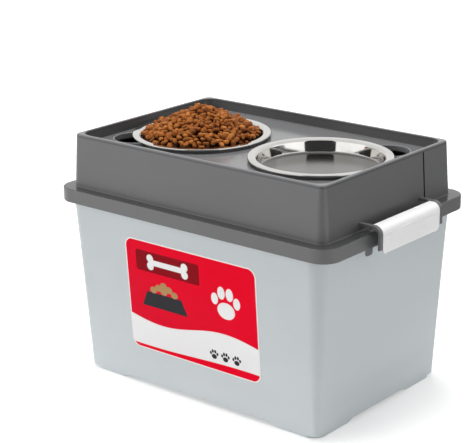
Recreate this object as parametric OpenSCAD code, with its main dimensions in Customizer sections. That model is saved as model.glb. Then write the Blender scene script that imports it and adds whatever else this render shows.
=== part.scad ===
// Elevated twin-bowl feeder standing on a lidded food storage bin.
// Millimetres, +Z up, X along the long side, front towards -Y.
// The origin is the middle of the footprint, at the level of the feet.

/* [Bowls] */
// Outer diameter of a bowl's rolled rim
bowl_rim_d = 248.6; // [200:0.2:290]
// Width of the flat rim, from the rolled edge to the bend
bowl_rim_w = 10.3; // [8:0.1:20]
// Height of the rolled edge
bowl_bead_h = 3.4; // [2.4:0.1:6]
// Depth of a bowl, from its rim to its floor
bowl_depth = 23; // [18:1:40]
// Slope of a bowl's wall from upright, in degrees
bowl_slope = 12; // [4:1:20]
// Radius of the bend between the rim and the wall
bowl_bend = 6; // [4:0.5:7]
// Radius between a bowl's wall and floor
bowl_fillet = 4; // [2:0.5:8]
// Thickness of the steel sheet
bowl_sheet = 1; // [0.6:0.1:2]
// Gap between the two rims
bowl_gap = 16.6; // [6:0.2:40]

/* [Recess] */
// From a rim to the end wall of the recess
end_margin = 8.7; // [4:0.1:40]
// From a rim to the side wall of the recess
side_margin = 49.1; // [30:0.1:70]
// Depth of the recess below the lip
recess_depth = 20.3; // [14:0.1:30]
// Corner radius of the recess
recess_corner = 24; // [12:1:40]
// Height of the collar that carries a bowl above the plate
collar_h = 7; // [5:0.1:12]
// Thickness of the collar
collar_t = 2.5; // [1.5:0.1:3]
// Width of the lip's flat top and its rounding
lip_w = 6.5; // [5:0.1:12]
// Rounding of the lip's outer edge
lip_round = 3; // [1:0.1:4]

/* [Finger notches] */
// Diameter of a finger notch
notch_d = 73.8; // [50:0.2:84]
// From the bowl's centre to the notch's centre
notch_out = 120.8; // [100:0.2:124]
// Angle of the notch from the long axis
notch_angle = 54.5; // [46:0.5:60]

/* [Riser] */
// Height of the riser above the flange
riser_h = 94.6; // [75:0.1:140]
// Slope of the riser's walls from upright, in degrees
riser_draft = 3.7; // [1:0.1:5]
// Corner radius of the riser where it meets the flange
riser_corner = 17; // [14:1:30]
// Wall thickness of the lid moulding
lid_wall = 2.5; // [2:0.1:3.5]
// Width of the upright slot in each end wall
slot_w = 3; // [2:0.1:5]
// From the middle of the end wall to the slot
slot_y = 100; // [96:1:130]
// Clear height above and below the slot
slot_margin = 5; // [4:0.5:12]
// Thickness of the rib between the bowls
rib_t = 2; // [1.5:0.1:4]
// Depth of the rib below the plate
rib_h = 18; // [8:1:30]

/* [Flange] */
// From the riser to the edge of the flange, at the ends
flange_end = 21.8; // [18:0.1:40]
// From the riser to the edge of the flange, at the front and back
flange_side = 19.1; // [16:0.1:40]
// Corner radius of the flange
flange_corner = 34; // [25:1:60]
// Height of the flange's skirt, over all
skirt_h = 24.7; // [20:0.1:34]
// Rounding of the flange's top edge
flange_round = 2; // [0.5:0.1:2]

/* [Bin] */
// Height of the bin from the feet to the rim
bin_h = 338; // [200:1:450]
// Slope of the bin's walls from upright, in degrees
bin_draft = 3.65; // [1:0.05:4]
// Corner radius of the bin at the rim
bin_corner = 30; // [27:1:50]
// Wall thickness of the bin
bin_wall = 2.5; // [1.5:0.1:4]
// Thickness of the bin's floor
bin_floor = 3; // [2:0.1:6]
// From the bin's wall to the riser above it, at the ends
bin_out_end = 1.3; // [1:0.1:5]
// From the bin's wall to the riser above it, at the front and back
bin_out_side = 10.7; // [9.5:0.1:12]
// Thickness of the bin's rim
rim_t = 3; // [2:0.1:5]
// Drop of the turned-down rim at the ends
rim_drop = 14; // [8:0.5:17]

/* [Feet] */
// Height of the feet
foot_h = 6; // [3:0.5:15]
// Length of a foot along the long side
foot_l = 78; // [40:1:120]
// Length of a foot along the short side
foot_w = 85; // [40:1:120]
// Run of the slope at the end of a foot
foot_slope = 17; // [8:1:30]

/* [Seal] */
// Width of the seal
seal_w = 4; // [3:0.1:5]
// Thickness of the seal
seal_t = 3.9; // [2:0.1:6]

/* [Latches] */
// Width of a latch
latch_w = 166; // [110:1:180]
// Thickness of a latch's wall
latch_t = 2.6; // [2:0.1:3.5]
// Height of the pivot above the flange
pivot_up = 9.8; // [8:0.1:14]
// Diameter of the pivot pins
pivot_d = 3.2; // [2.4:0.1:4]
// Radius of the barrel around the pivot
barrel_r = 4; // [3.2:0.1:4.5]
// How far a latch stands out from the flange
latch_out = 19.7; // [18:0.1:26]
// Radius of a latch's shoulder
latch_shoulder = 13.7; // [9:0.1:16]
// How far a latch reaches below the flange's skirt
latch_below = 9; // [7:0.5:14]
// Corner radius at the foot of a latch
latch_corner = 12; // [4:1:16]
// Width of an arm beside a latch
arm_w = 8; // [6:0.5:14]
// Thickness of an arm
arm_t = 5; // [4:0.1:6]
// Height of the tongue below the skirt, inside each arm
tongue_h = 14; // [6:1:20]
// Width of the tongue
tongue_w = 18; // [12:1:26]
// Width of the catch that a latch grips
catch_w = 120; // [60:1:130]

/* [Label] */
// Length of the label
label_l = 292; // [150:1:330]
// Height of the label
label_h = 208; // [100:1:220]
// Thickness of the label
label_t = 0.4; // [0.2:0.1:0.8]
// Corner radius of the label
label_corner = 17; // [5:1:30]
// From the flange's skirt down to the label
label_drop = 40; // [20:1:60]

/* [Kibble] */
// Height of the heap above the bowl's rim
heap_h = 48; // [20:1:70]
// Height of the lumps of kibble on the heap
lump_h = 4; // [2:0.5:6]
// Distance between the lumps
lump_step = 42; // [36:1:44]

/* [Hidden] */
$fn = 96;
// Radial clearance of a pivot pin in its hole
fit = 0.05;
// Gap between two pieces where one rests on the other
air = 0.3;
// Gap beside and under a latch
snap_air = 0.4;
// Gap between the skirt and the bin's rim
skirt_gap = 2.5;
// Gap between a bowl's bend and its hole
hole_gap = 0.5;
// Steps along each round stretch of a bowl's section
bowl_steps = 10;
// Gap between a bowl's rolled edge and the collars
bead_gap = 0.6;
// How far the rim's corners are rounded less than the flange's
rim_corner_less = 5;
// Wall thickness of the turned-down rim and the catch
catch_t = 2.5;
// Height of the catch above the skirt's edge
catch_up = 8;
// Gap between the catch and the edges of its window
window_gap = 4;
// Gap above the catch
window_up = 1.5;
// From the flange's edge out to the hook's tip
hook_out = 3.3;
// How far an arm stands above and around its latch
arm_over = 1;
// How far an arm reaches below the skirt
arm_under = 0.5;
// How far a pin ends short of the arm's outer face
pin_short = 1;
// From the bin's wall at the rim to the seal
seal_out = 0.5;
// Thickness of the glue under the label
label_glue = 0.02;
// From the rim of the bowl down to the heap's edge
heap_down = 5;
// How the heap's slope bends: 1 and 1 give a straight cone
heap_belly = 1.1;
heap_blunt = 0.85;
// Points along the heap's slope
heap_steps = 10;
// Radius of a lump
lump_r = 34;
// Rings of lumps round the middle one
lump_rings = 2;
// From the heap's edge in to where a lump is cut off
lump_in = 5;
// How far a cutting shape runs past the surface that it cuts
cut = 1;

// A length rounded to a hundredth, so that walls and round corners meet exactly.
function tidy(x) = round(100 * x) / 100;

// Radius inside a bowl's sloping wall at height z.
function bowl_wall_x(z) = mouth_r - bowl_bend * cos(bowl_slope)
    - (bowl_z - bowl_bend * (1 - sin(bowl_slope)) - z) * tan(bowl_slope);

recess_l = 2 * bowl_rim_d + bowl_gap + 2 * end_margin;
recess_w = bowl_rim_d + 2 * side_margin;
riser_in = tidy(riser_h * tan(riser_draft));
riser_l = recess_l + 2 * lip_w + 2 * riser_in;
riser_w = recess_w + 2 * lip_w + 2 * riser_in;
flange_l = riser_l + 2 * flange_end;
flange_w = riser_w + 2 * flange_side;
bin_l = riser_l + 2 * bin_out_end;
bin_w = riser_w + 2 * bin_out_side;
rim_l = flange_l - 2 * lid_wall - 2 * skirt_gap;
rim_w = flange_w - 2 * lid_wall - 2 * skirt_gap;

flange_under = bin_h + air + seal_t;
flange_z = flange_under + lid_wall;
skirt_z = flange_z - skirt_h;
lip_z = flange_z + riser_h;
plate_z = lip_z - recess_depth;
plate_under = plate_z - lid_wall;
collar_z = plate_z + collar_h;

bowl_x = (bowl_rim_d + bowl_gap) / 2;
bead_r = bowl_bead_h / 2;
bowl_z = collar_z + air + bowl_sheet;
mouth_r = bowl_rim_d / 2 - bowl_rim_w;
hole_r = mouth_r + hole_gap;
bowl_floor_z = bowl_z - bowl_depth;
fillet_z = bowl_floor_z + bowl_fillet;
fillet_x = bowl_wall_x(fillet_z) - bowl_fillet / cos(bowl_slope);
heap_edge = bowl_z - heap_down;
heap_r = tidy(bowl_wall_x(heap_edge) - air / cos(bowl_slope));
heap_peak = bowl_z + heap_h - lump_h;

pivot_x = flange_l / 2;
pivot_z = flange_z + pivot_up;
latch_x = flange_l / 2 + latch_out;
latch_top = pivot_z + barrel_r;
latch_z = skirt_z - latch_below;
seal_reach = seal_w / 2 + seal_out;
hook_x = flange_l / 2 + hook_out;
catch_x = hook_x - snap_air;
catch_z = latch_z + latch_t + snap_air;
catch_top = skirt_z + catch_up;
arm_y = latch_w / 2 + snap_air;
arm_top = latch_top + arm_over;
arm_z = skirt_z - arm_under;

plastic_grey = "#5e5f60";
plastic_pale = "#bfc5c8";
plastic_white = "#e6e6e6";
steel = "#c9cac8";
label_red = "#d51233";
kibble_brown = "#8a4a20";
seal_black = "#2b2b2c";

// Flat outline with round corners, centred on the origin.
module round_rect(l, w, r) {
    for (sx = [-1, 1], sy = [-1, 1]) {
        translate([sx * (l / 2 - r), sy * (w / 2 - r)]) circle(r);
    }
    square([l - 2 * r, w], center = true);
    square([l, w - 2 * r], center = true);
}

// Upright block on the outline l by w, with round corners of radius r.
module round_block(l, w, r, h) {
    linear_extrude(h) round_rect(l, w, r);
}

// Block on the outline l by w with corner radius r. Its walls follow section, a list of
// [how far the wall stands in from the outline, height], from the lowest point to the highest.
module section_block(l, w, r, section) {
    low = section[0][1];
    high = section[len(section) - 1][1];
    for (sx = [-1, 1], sy = [-1, 1]) translate([sx * (l / 2 - r), sy * (w / 2 - r), 0]) {
        rotate_extrude() polygon(concat([[0, low]], [for (p = section) [r - p[0], p[1]]], [[0, high]]));
    }
    section_bar(w, section, l - 2 * r);
    rotate([0, 0, 90]) section_bar(l, section, w - 2 * r);
}

// Bar along X, run long, whose cross-section is w wide less section on each side.
module section_bar(w, section, run) {
    rotate([90, 0, 90]) translate([0, 0, -run / 2]) linear_extrude(run) {
        polygon(concat([for (p = section) [w / 2 - p[0], p[1]]],
                       [for (i = [len(section) - 1 : -1 : 0]) [section[i][0] - w / 2, section[i][1]]]));
    }
}

// Points of a quarter round of radius r, from an upright wall at [inset, z] over to the top.
function quarter_round(inset, z, r, steps) = [for (i = [0 : steps])
    [tidy(inset + r * (1 - cos(90 * i / steps))), tidy(z + r * sin(90 * i / steps))]];

// Outside of the bin between two heights above the feet, set in by inset on every side.
module bin_shape(z0, z1, inset) {
    lean = tan(bin_draft);
    section_block(bin_l, bin_w, bin_corner, [[tidy((bin_h - z0) * lean + inset), z0],
                                             [tidy((bin_h - z1) * lean + inset), z1]]);
}

// Storage bin with its turned-out rim, two latch catches and four corner feet.
module storage_bin() {
    color(plastic_pale) difference() {
        union() {
            bin_shape(0, bin_h, 0);
            translate([0, 0, bin_h - rim_t]) {
                round_block(rim_l, rim_w, flange_corner - rim_corner_less, rim_t);
            }
            for (side = [-1, 1]) mirror([side > 0 ? 0 : 1, 0, 0]) bin_end();
        }
        bin_shape(foot_h + bin_floor, bin_h + cut, bin_wall);
        foot_gaps();
    }
}

// Turned-down rim and latch catch at one end of the bin.
module bin_end() {
    lip_x = rim_l / 2 - catch_t;
    lip_run = rim_w - 2 * flange_corner;
    translate([lip_x, -lip_run / 2, bin_h - rim_drop]) cube([catch_t, lip_run, rim_drop - rim_t / 2]);
    translate([lip_x, -catch_w / 2, catch_top - catch_t]) {
        cube([catch_x - lip_x, catch_w, catch_t]);
    }
    translate([catch_x - catch_t, -catch_w / 2, catch_z]) {
        cube([catch_t, catch_w, catch_top - catch_z]);
    }
}

// What is cut away under the bin, so that only its four corners touch the floor.
module foot_gaps() {
    translate([0, 0, -cut]) {
        foot_gap(bin_l, bin_w + 2 * cut, foot_l);
        rotate([0, 0, 90]) foot_gap(bin_w, bin_l + 2 * cut, foot_w);
    }
}

// One trapezoid channel across the bin, between feet of length foot along X.
module foot_gap(l, run, foot) {
    base = l / 2 - (bin_h - foot_h) * tan(bin_draft) - foot;
    rotate([90, 0, 0]) translate([0, 0, -run / 2]) linear_extrude(run) {
        polygon([[-base, 0], [base, 0], [base, cut], [base - foot_slope, foot_h + cut],
                 [foot_slope - base, foot_h + cut], [-base, cut]]);
    }
}

// Lid moulding: flange with skirt, riser with its recessed plate, and the latch arms.
module feeder_lid() {
    color(plastic_grey) difference() {
        union() {
            difference() {
                lid_outside();
                lid_hollow();
                recess();
            }
            plate_rib();
            for (side = [-1, 1]) rotate([0, 0, side > 0 ? 0 : 180]) bowl_collar();
            for (side = [-1, 1]) mirror([side > 0 ? 0 : 1, 0, 0]) lid_end();
        }
        for (side = [-1, 1]) rotate([0, 0, side > 0 ? 0 : 180]) {
            bowl_opening();
            bead_relief();
            end_slot();
        }
        for (side = [-1, 1]) mirror([side > 0 ? 0 : 1, 0, 0]) latch_window();
    }
}

// Outer surface of the flange and riser.
module lid_outside() {
    wall_h = riser_h - lip_round;
    section_block(flange_l, flange_w, flange_corner,
                  concat([[0, skirt_z]], quarter_round(0, flange_z - flange_round, flange_round, 3)));
    section_block(riser_l, riser_w, riser_corner,
                  concat([[0, flange_z - lid_wall / 2], [0, flange_z]],
                         quarter_round(wall_h * tan(riser_draft), flange_z + wall_h, lip_round, 4)));
}

// Space inside the skirt and inside the riser, up to the underside of the plate.
module lid_hollow() {
    lean = tidy((plate_under - flange_z) * tan(riser_draft));
    section_block(flange_l, flange_w, flange_corner,
                  [[lid_wall, skirt_z - cut], [lid_wall, flange_under]]);
    section_block(riser_l, riser_w, riser_corner,
                  [[lid_wall, skirt_z], [lid_wall, flange_z], [lid_wall + lean, plate_under]]);
}

// Rib under the plate, between the bowls.
module plate_rib() {
    rib_l = riser_w - 2 * riser_in - lid_wall;
    translate([-rib_t / 2, -rib_l / 2, plate_under - rib_h]) cube([rib_t, rib_l, rib_h + lid_wall / 2]);
}

// Collar on the plate round the bowl's hole and its finger notch, on the +X side.
module bowl_collar() {
    translate([bowl_x, 0, plate_z - lid_wall / 2]) {
        cylinder(h = collar_h + lid_wall / 2, r = hole_r + collar_t);
        at_notch() cylinder(h = collar_h + lid_wall / 2, r = notch_d / 2 + collar_t);
    }
}

// Moves to the finger notch from the bowl's axis.
module at_notch() {
    translate([tidy(notch_out * cos(notch_angle)), tidy(notch_out * sin(notch_angle)), 0]) children();
}

// Room in the notch's collar for the bowl's rolled edge, on the +X side.
module bead_relief() {
    translate([bowl_x, 0, bowl_z - bowl_bead_h - bead_gap]) difference() {
        cylinder(h = collar_h, r = bowl_rim_d / 2 + bead_gap);
        translate([0, 0, -cut]) cylinder(h = collar_h + 2 * cut, r = hole_r + collar_t);
    }
}

// The sunk area inside the lip.
module recess() {
    translate([0, 0, plate_z]) round_block(recess_l, recess_w, recess_corner, recess_depth + cut);
}

// Hole for the bowl on the +X side, with the finger notch behind it.
module bowl_opening() {
    depth = lid_wall + collar_h + 2 * cut;
    translate([bowl_x, 0, plate_under - cut]) {
        cylinder(h = depth, r = hole_r);
        at_notch() cylinder(h = depth, r = notch_d / 2);
    }
}

// Narrow upright slot through the end wall on the +X side. It ends in the thickness of the lip.
module end_slot() {
    slot_z = flange_z + slot_margin;
    translate([recess_l / 2 + lip_w / 2, slot_y - slot_w / 2, slot_z]) {
        cube([lip_w / 2 + riser_in + cut, slot_w, lip_z - slot_margin - slot_z]);
    }
}

// Latch arms and tongues at the +X end.
module lid_end() {
    for (side = [-1, 1]) mirror([0, side > 0 ? 0 : 1, 0]) {
        translate([0, arm_y + arm_w, 0]) rotate([90, 0, 0]) linear_extrude(arm_w) arm_outline();
        translate([flange_l / 2 - lid_wall, arm_y, skirt_z]) rotate([90, 0, 90]) {
            linear_extrude(lid_wall) tongue_outline();
        }
    }
}

// Side view of an arm, X out and Y up: a bar bent over a quarter turn, with its pin hole.
module arm_outline() {
    bend = latch_shoulder + arm_over;
    bend_x = latch_x - bend;
    bend_z = arm_top - bend;
    root_x = tidy(riser_l / 2 - lid_wall / 2 - (arm_top - flange_z) * tan(riser_draft));
    difference() {
        union() {
            translate([root_x, arm_top - arm_t]) square([bend_x - root_x, arm_t]);
            quarter_ring(bend_x, bend_z, bend, arm_t);
            translate([latch_x - arm_t, arm_z + arm_t / 2]) square([arm_t, bend_z - arm_z - arm_t / 2]);
            translate([latch_x - arm_t / 2, arm_z + arm_t / 2]) circle(arm_t / 2);
            translate([pivot_x, pivot_z]) circle(barrel_r + arm_over);
        }
        translate([pivot_x, pivot_z]) circle(pivot_d / 2 + fit);
    }
}

// Upper outer quarter of a ring with outer radius r and thickness t about (x, z).
module quarter_ring(x, z, r, t) {
    translate([x, z]) intersection() {
        difference() {
            circle(r);
            circle(r - t);
        }
        square(r);
    }
}

// Front view of a tongue, hanging from the skirt with its lower corners rounded.
module tongue_outline() {
    r = tongue_w / 4;
    translate([0, r - tongue_h]) square([tongue_w, tongue_h - r + lid_wall]);
    translate([r, r - tongue_h]) circle(r);
    translate([tongue_w - r, r - tongue_h]) circle(r);
    translate([r, -tongue_h]) square([tongue_w - 2 * r, r]);
}

// Gap in the skirt at the +X end through which the catch reaches the latch.
module latch_window() {
    translate([flange_l / 2 - lid_wall - cut, -catch_w / 2 - window_gap, skirt_z - cut]) {
        cube([lid_wall + 2 * cut, catch_w + 2 * window_gap, catch_up + window_up + cut]);
    }
}

// Soft seal that the lid presses onto the bin's rim.
module lid_seal() {
    color(seal_black) translate([0, 0, bin_h + air]) linear_extrude(seal_t) difference() {
        round_rect(bin_l + 2 * seal_reach, bin_w + 2 * seal_reach, bin_corner + seal_reach);
        round_rect(bin_l + 2 * seal_reach - 2 * seal_w, bin_w + 2 * seal_reach - 2 * seal_w,
                   bin_corner + seal_reach - seal_w);
    }
}

// Points on an arc of radius r about [x, z], between two angles.
function arc_points(x, z, r, from, to) = [for (i = [0 : bowl_steps])
    let(a = from + (to - from) * i / bowl_steps) [tidy(x + r * cos(a)), tidy(z + r * sin(a))]];

// Points along a bowl's floor and the round foot of its wall, moved outwards by out.
function bowl_foot(out) = concat([[0, bowl_floor_z - out]],
                                 arc_points(fillet_x, fillet_z, bowl_fillet + out, -90, -bowl_slope));

// Points along the bend at the top of a bowl's wall and its flat rim, moved outwards by out.
function bowl_top(out) = concat(
    arc_points(mouth_r, bowl_z - bowl_bend, bowl_bend - out, 180 - bowl_slope, 90),
    [[bowl_rim_d / 2 - bead_r, bowl_z - out]]);

// One steel bowl: a pressed cup with a flat rim that ends in a rolled edge.
module bowl() {
    outside = concat(bowl_foot(bowl_sheet), bowl_top(bowl_sheet));
    back = [for (i = [len(outside) - 1 : -1 : 0]) outside[i]];
    color(steel) {
        rotate_extrude() polygon(concat(bowl_foot(0), bowl_top(0), back));
        translate([0, 0, bowl_z - bead_r]) rotate_extrude() {
            translate([bowl_rim_d / 2 - bead_r, 0]) circle(bead_r);
        }
    }
}

module left_bowl() {
    translate([-bowl_x, 0, 0]) bowl();
}

module right_bowl() {
    translate([bowl_x, 0, 0]) bowl();
}

// One latch at the +X end, closed: a bent white cover with its barrel, pins and hook.
module latch() {
    pin_l = arm_w - pin_short;
    color(plastic_white) {
        intersection() {
            along_y(latch_w) latch_outline();
            latch_face();
        }
        translate([pivot_x, 0, pivot_z]) rotate([90, 0, 0]) {
            cylinder(h = latch_w, r = barrel_r, center = true);
            cylinder(h = latch_w + 2 * snap_air + 2 * pin_l, r = pivot_d / 2, center = true);
        }
        for (side = [-1, 1]) translate([0, side * (latch_w - latch_t) / 2, 0]) {
            along_y(latch_t) latch_web();
        }
    }
}

// Extrude a side view, X out and Y up, along the latch by run, centred.
module along_y(run) {
    translate([0, run / 2, 0]) rotate([90, 0, 0]) linear_extrude(run) children();
}

// Side view of the latch's cover: top, shoulder, face and hook.
module latch_outline() {
    bend_x = latch_x - latch_shoulder;
    bend_z = latch_top - latch_shoulder;
    translate([pivot_x, latch_top - latch_t]) square([bend_x - pivot_x, latch_t]);
    quarter_ring(bend_x, bend_z, latch_shoulder, latch_t);
    translate([latch_x - latch_t, latch_z]) square([latch_t, bend_z - latch_z]);
    translate([hook_x, latch_z]) square([latch_x - hook_x, latch_t]);
}

// Side view of the stiffening web inside each end of the latch.
module latch_web() {
    bend_x = latch_x - latch_shoulder;
    bend_z = latch_top - latch_shoulder;
    translate([pivot_x, bend_z]) square([bend_x - pivot_x, latch_shoulder - latch_t / 2]);
    translate([bend_x, bend_z]) intersection() {
        circle(latch_shoulder - latch_t / 2);
        square(latch_shoulder);
    }
}

// Outline of the latch seen from the end of the feeder, with its lower corners rounded.
module latch_face() {
    h = latch_top - latch_z;
    translate([pivot_x - cut, 0, latch_z]) rotate([90, 0, 90]) linear_extrude(latch_out + 2 * cut) {
        translate([-latch_w / 2, latch_corner]) square([latch_w, h - latch_corner]);
        translate([latch_corner - latch_w / 2, 0]) square([latch_w - 2 * latch_corner, latch_corner]);
        for (side = [-1, 1]) translate([side * (latch_w / 2 - latch_corner), latch_corner]) {
            circle(latch_corner);
        }
    }
}

module right_latch() {
    latch();
}

module left_latch() {
    mirror([1, 0, 0]) latch();
}

// Printed label, lying on the sloping front wall.
module front_label() {
    top_z = skirt_z - label_drop;
    wall_y = bin_w / 2 - (bin_h - top_z) * tan(bin_draft);
    color(label_red) translate([0, -wall_y, top_z]) rotate([90 + bin_draft, 0, 0]) {
        translate([0, -label_h / 2, label_glue]) linear_extrude(label_t) {
            round_rect(label_l, label_h, label_corner);
        }
    }
}

// Height of the heap's smooth surface at distance r from the bowl's axis.
function heap_z(r) = let(part = pow(1 - pow(r / heap_r, heap_belly), heap_blunt))
    tidy(heap_edge + (heap_peak - heap_edge) * part);

// Food that fills the left bowl and stands up in a lumpy heap.
module kibble_heap() {
    slope = [for (i = [heap_steps : -1 : 0]) let(r = tidy(heap_r * i / heap_steps)) [r, heap_z(r)]];
    color(kibble_brown) translate([-bowl_x, 0, 0]) {
        rotate_extrude() polygon(concat(bowl_foot(-air), slope));
        intersection() {
            for (ring = [0 : lump_rings]) lump_ring(ring);
            translate([0, 0, fillet_z]) cylinder(h = heap_h + bowl_depth, r = heap_r - lump_in);
        }
    }
}

// One ring of lumps on the heap, six more than in the ring inside it.
module lump_ring(ring) {
    count = max(1, 6 * ring);
    out = lump_step * ring;
    tilt = ring > 0 ? atan((heap_peak - heap_edge) / heap_r) : 0;
    for (i = [0 : count - 1]) rotate([0, 0, 360 * (i + ring / 4) / count]) {
        translate([out, 0, heap_z(out)]) rotate([0, tilt, 0]) {
            translate([0, 0, lump_h - lump_r]) sphere(lump_r);
        }
    }
}

storage_bin();
feeder_lid();
lid_seal();
left_bowl();
right_bowl();
left_latch();
right_latch();
front_label();
kibble_heap();
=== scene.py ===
"""Raised twin-bowl pet feeder on a lidded food bin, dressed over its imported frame."""

import logging
import math
import random
from dataclasses import dataclass, field
from enum import Enum
from typing import Any, Callable, Mapping, Sequence

import bmesh
import bpy
from mathutils import Matrix, Vector, noise


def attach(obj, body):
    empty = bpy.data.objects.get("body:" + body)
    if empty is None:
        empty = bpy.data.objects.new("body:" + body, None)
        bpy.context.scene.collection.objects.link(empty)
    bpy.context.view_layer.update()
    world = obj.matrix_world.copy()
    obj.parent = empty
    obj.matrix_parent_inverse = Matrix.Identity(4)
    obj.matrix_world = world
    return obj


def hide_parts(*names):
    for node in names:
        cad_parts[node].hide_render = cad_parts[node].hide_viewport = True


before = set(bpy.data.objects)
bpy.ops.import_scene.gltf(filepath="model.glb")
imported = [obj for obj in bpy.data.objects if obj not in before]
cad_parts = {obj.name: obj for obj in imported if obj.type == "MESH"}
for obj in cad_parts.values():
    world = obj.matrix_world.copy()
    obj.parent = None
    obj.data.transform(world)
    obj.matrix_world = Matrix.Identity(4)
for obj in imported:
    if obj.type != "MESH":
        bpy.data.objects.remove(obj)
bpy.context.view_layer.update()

MM = 0.001
LOG = logging.getLogger("feeder")

Point = tuple[float, float, float]
Flat = tuple[float, float]
Colour = tuple[float, float, float]


class Body(Enum):
    """Bodies of the frame that the pieces ride on."""

    BIN = "bin"
    LID = "lid"
    LEFT_BOWL = "left_bowl_body"
    RIGHT_BOWL = "right_bowl_body"
    LEFT_LATCH = "left_latch_body"
    RIGHT_LATCH = "right_latch_body"


class Slot(Enum):
    """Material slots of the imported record."""

    PALE = "pale_plastic"
    GREY = "grey_plastic"
    SEAL = "seal_rubber"
    STEEL = "polished_steel"
    WHITE = "white_plastic"
    LABEL = "label_film"
    FOOD = "dry_food"


class Side(Enum):
    """Ends of the feeder, by the sign of X."""

    LEFT = -1
    RIGHT = 1


# Shader expressions


class Value:
    """One number socket of a node sheet. An expression on it adds its Math nodes."""

    def __init__(self, sheet: "NodeSheet", socket: bpy.types.NodeSocket) -> None:
        """Keeps the sheet and the socket.

        Args:
            sheet: the node sheet that the socket is on.
            socket: an output socket that carries a number.
        """
        self.sheet = sheet
        self.socket = socket

    def math(self, operation: str, *terms: "Value | float") -> "Value":
        """Joins terms with one Math node.

        Args:
            operation: the Math node's operation.
            terms: its inputs in order.

        Returns:
            The node's result.
        """
        node = self.sheet.node("ShaderNodeMath", {"operation": operation}, dict(enumerate(terms)))
        return Value(self.sheet, node.outputs[0])

    def __add__(self, other: "Value | float") -> "Value":
        """Sum of the two."""
        return self.math("ADD", self, other)

    __radd__ = __add__

    def __sub__(self, other: "Value | float") -> "Value":
        """Difference of the two."""
        return self.math("SUBTRACT", self, other)

    def __rsub__(self, other: float) -> "Value":
        """Difference with the number first."""
        return self.math("SUBTRACT", other, self)

    def __mul__(self, other: "Value | float") -> "Value":
        """Product of the two."""
        return self.math("MULTIPLY", self, other)

    __rmul__ = __mul__

    def __truediv__(self, other: "Value | float") -> "Value":
        """Quotient of the two."""
        return self.math("DIVIDE", self, other)

    def __pow__(self, other: "Value | float") -> "Value":
        """This value to a power."""
        return self.math("POWER", self, other)

    def __neg__(self) -> "Value":
        """This value with its sign changed."""
        return self.math("MULTIPLY", self, -1.0)

    def __abs__(self) -> "Value":
        """Size of this value."""
        return self.math("ABSOLUTE", self)

    def least(self, other: "Value | float") -> "Value":
        """Lower of the two."""
        return self.math("MINIMUM", self, other)

    def most(self, other: "Value | float") -> "Value":
        """Higher of the two."""
        return self.math("MAXIMUM", self, other)

    def root(self) -> "Value":
        """Square root."""
        return self.math("SQRT", self)

    def sine(self) -> "Value":
        """Sine."""
        return self.math("SINE", self)

    def ramp(self, low: float, high: float) -> "Value":
        """Smooth step between two values.

        Args:
            low: where the result is 0.
            high: where the result is 1; below low turns the step round.

        Returns:
            A value from 0 to 1.
        """
        flip = low > high
        node = self.sheet.node(
            "ShaderNodeMapRange",
            {"interpolation_type": "SMOOTHSTEP"},
            {
                "Value": self,
                "From Min": min(low, high),
                "From Max": max(low, high),
                "To Min": 1.0 if flip else 0.0,
                "To Max": 0.0 if flip else 1.0,
            },
        )
        return Value(self.sheet, node.outputs[0])


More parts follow.
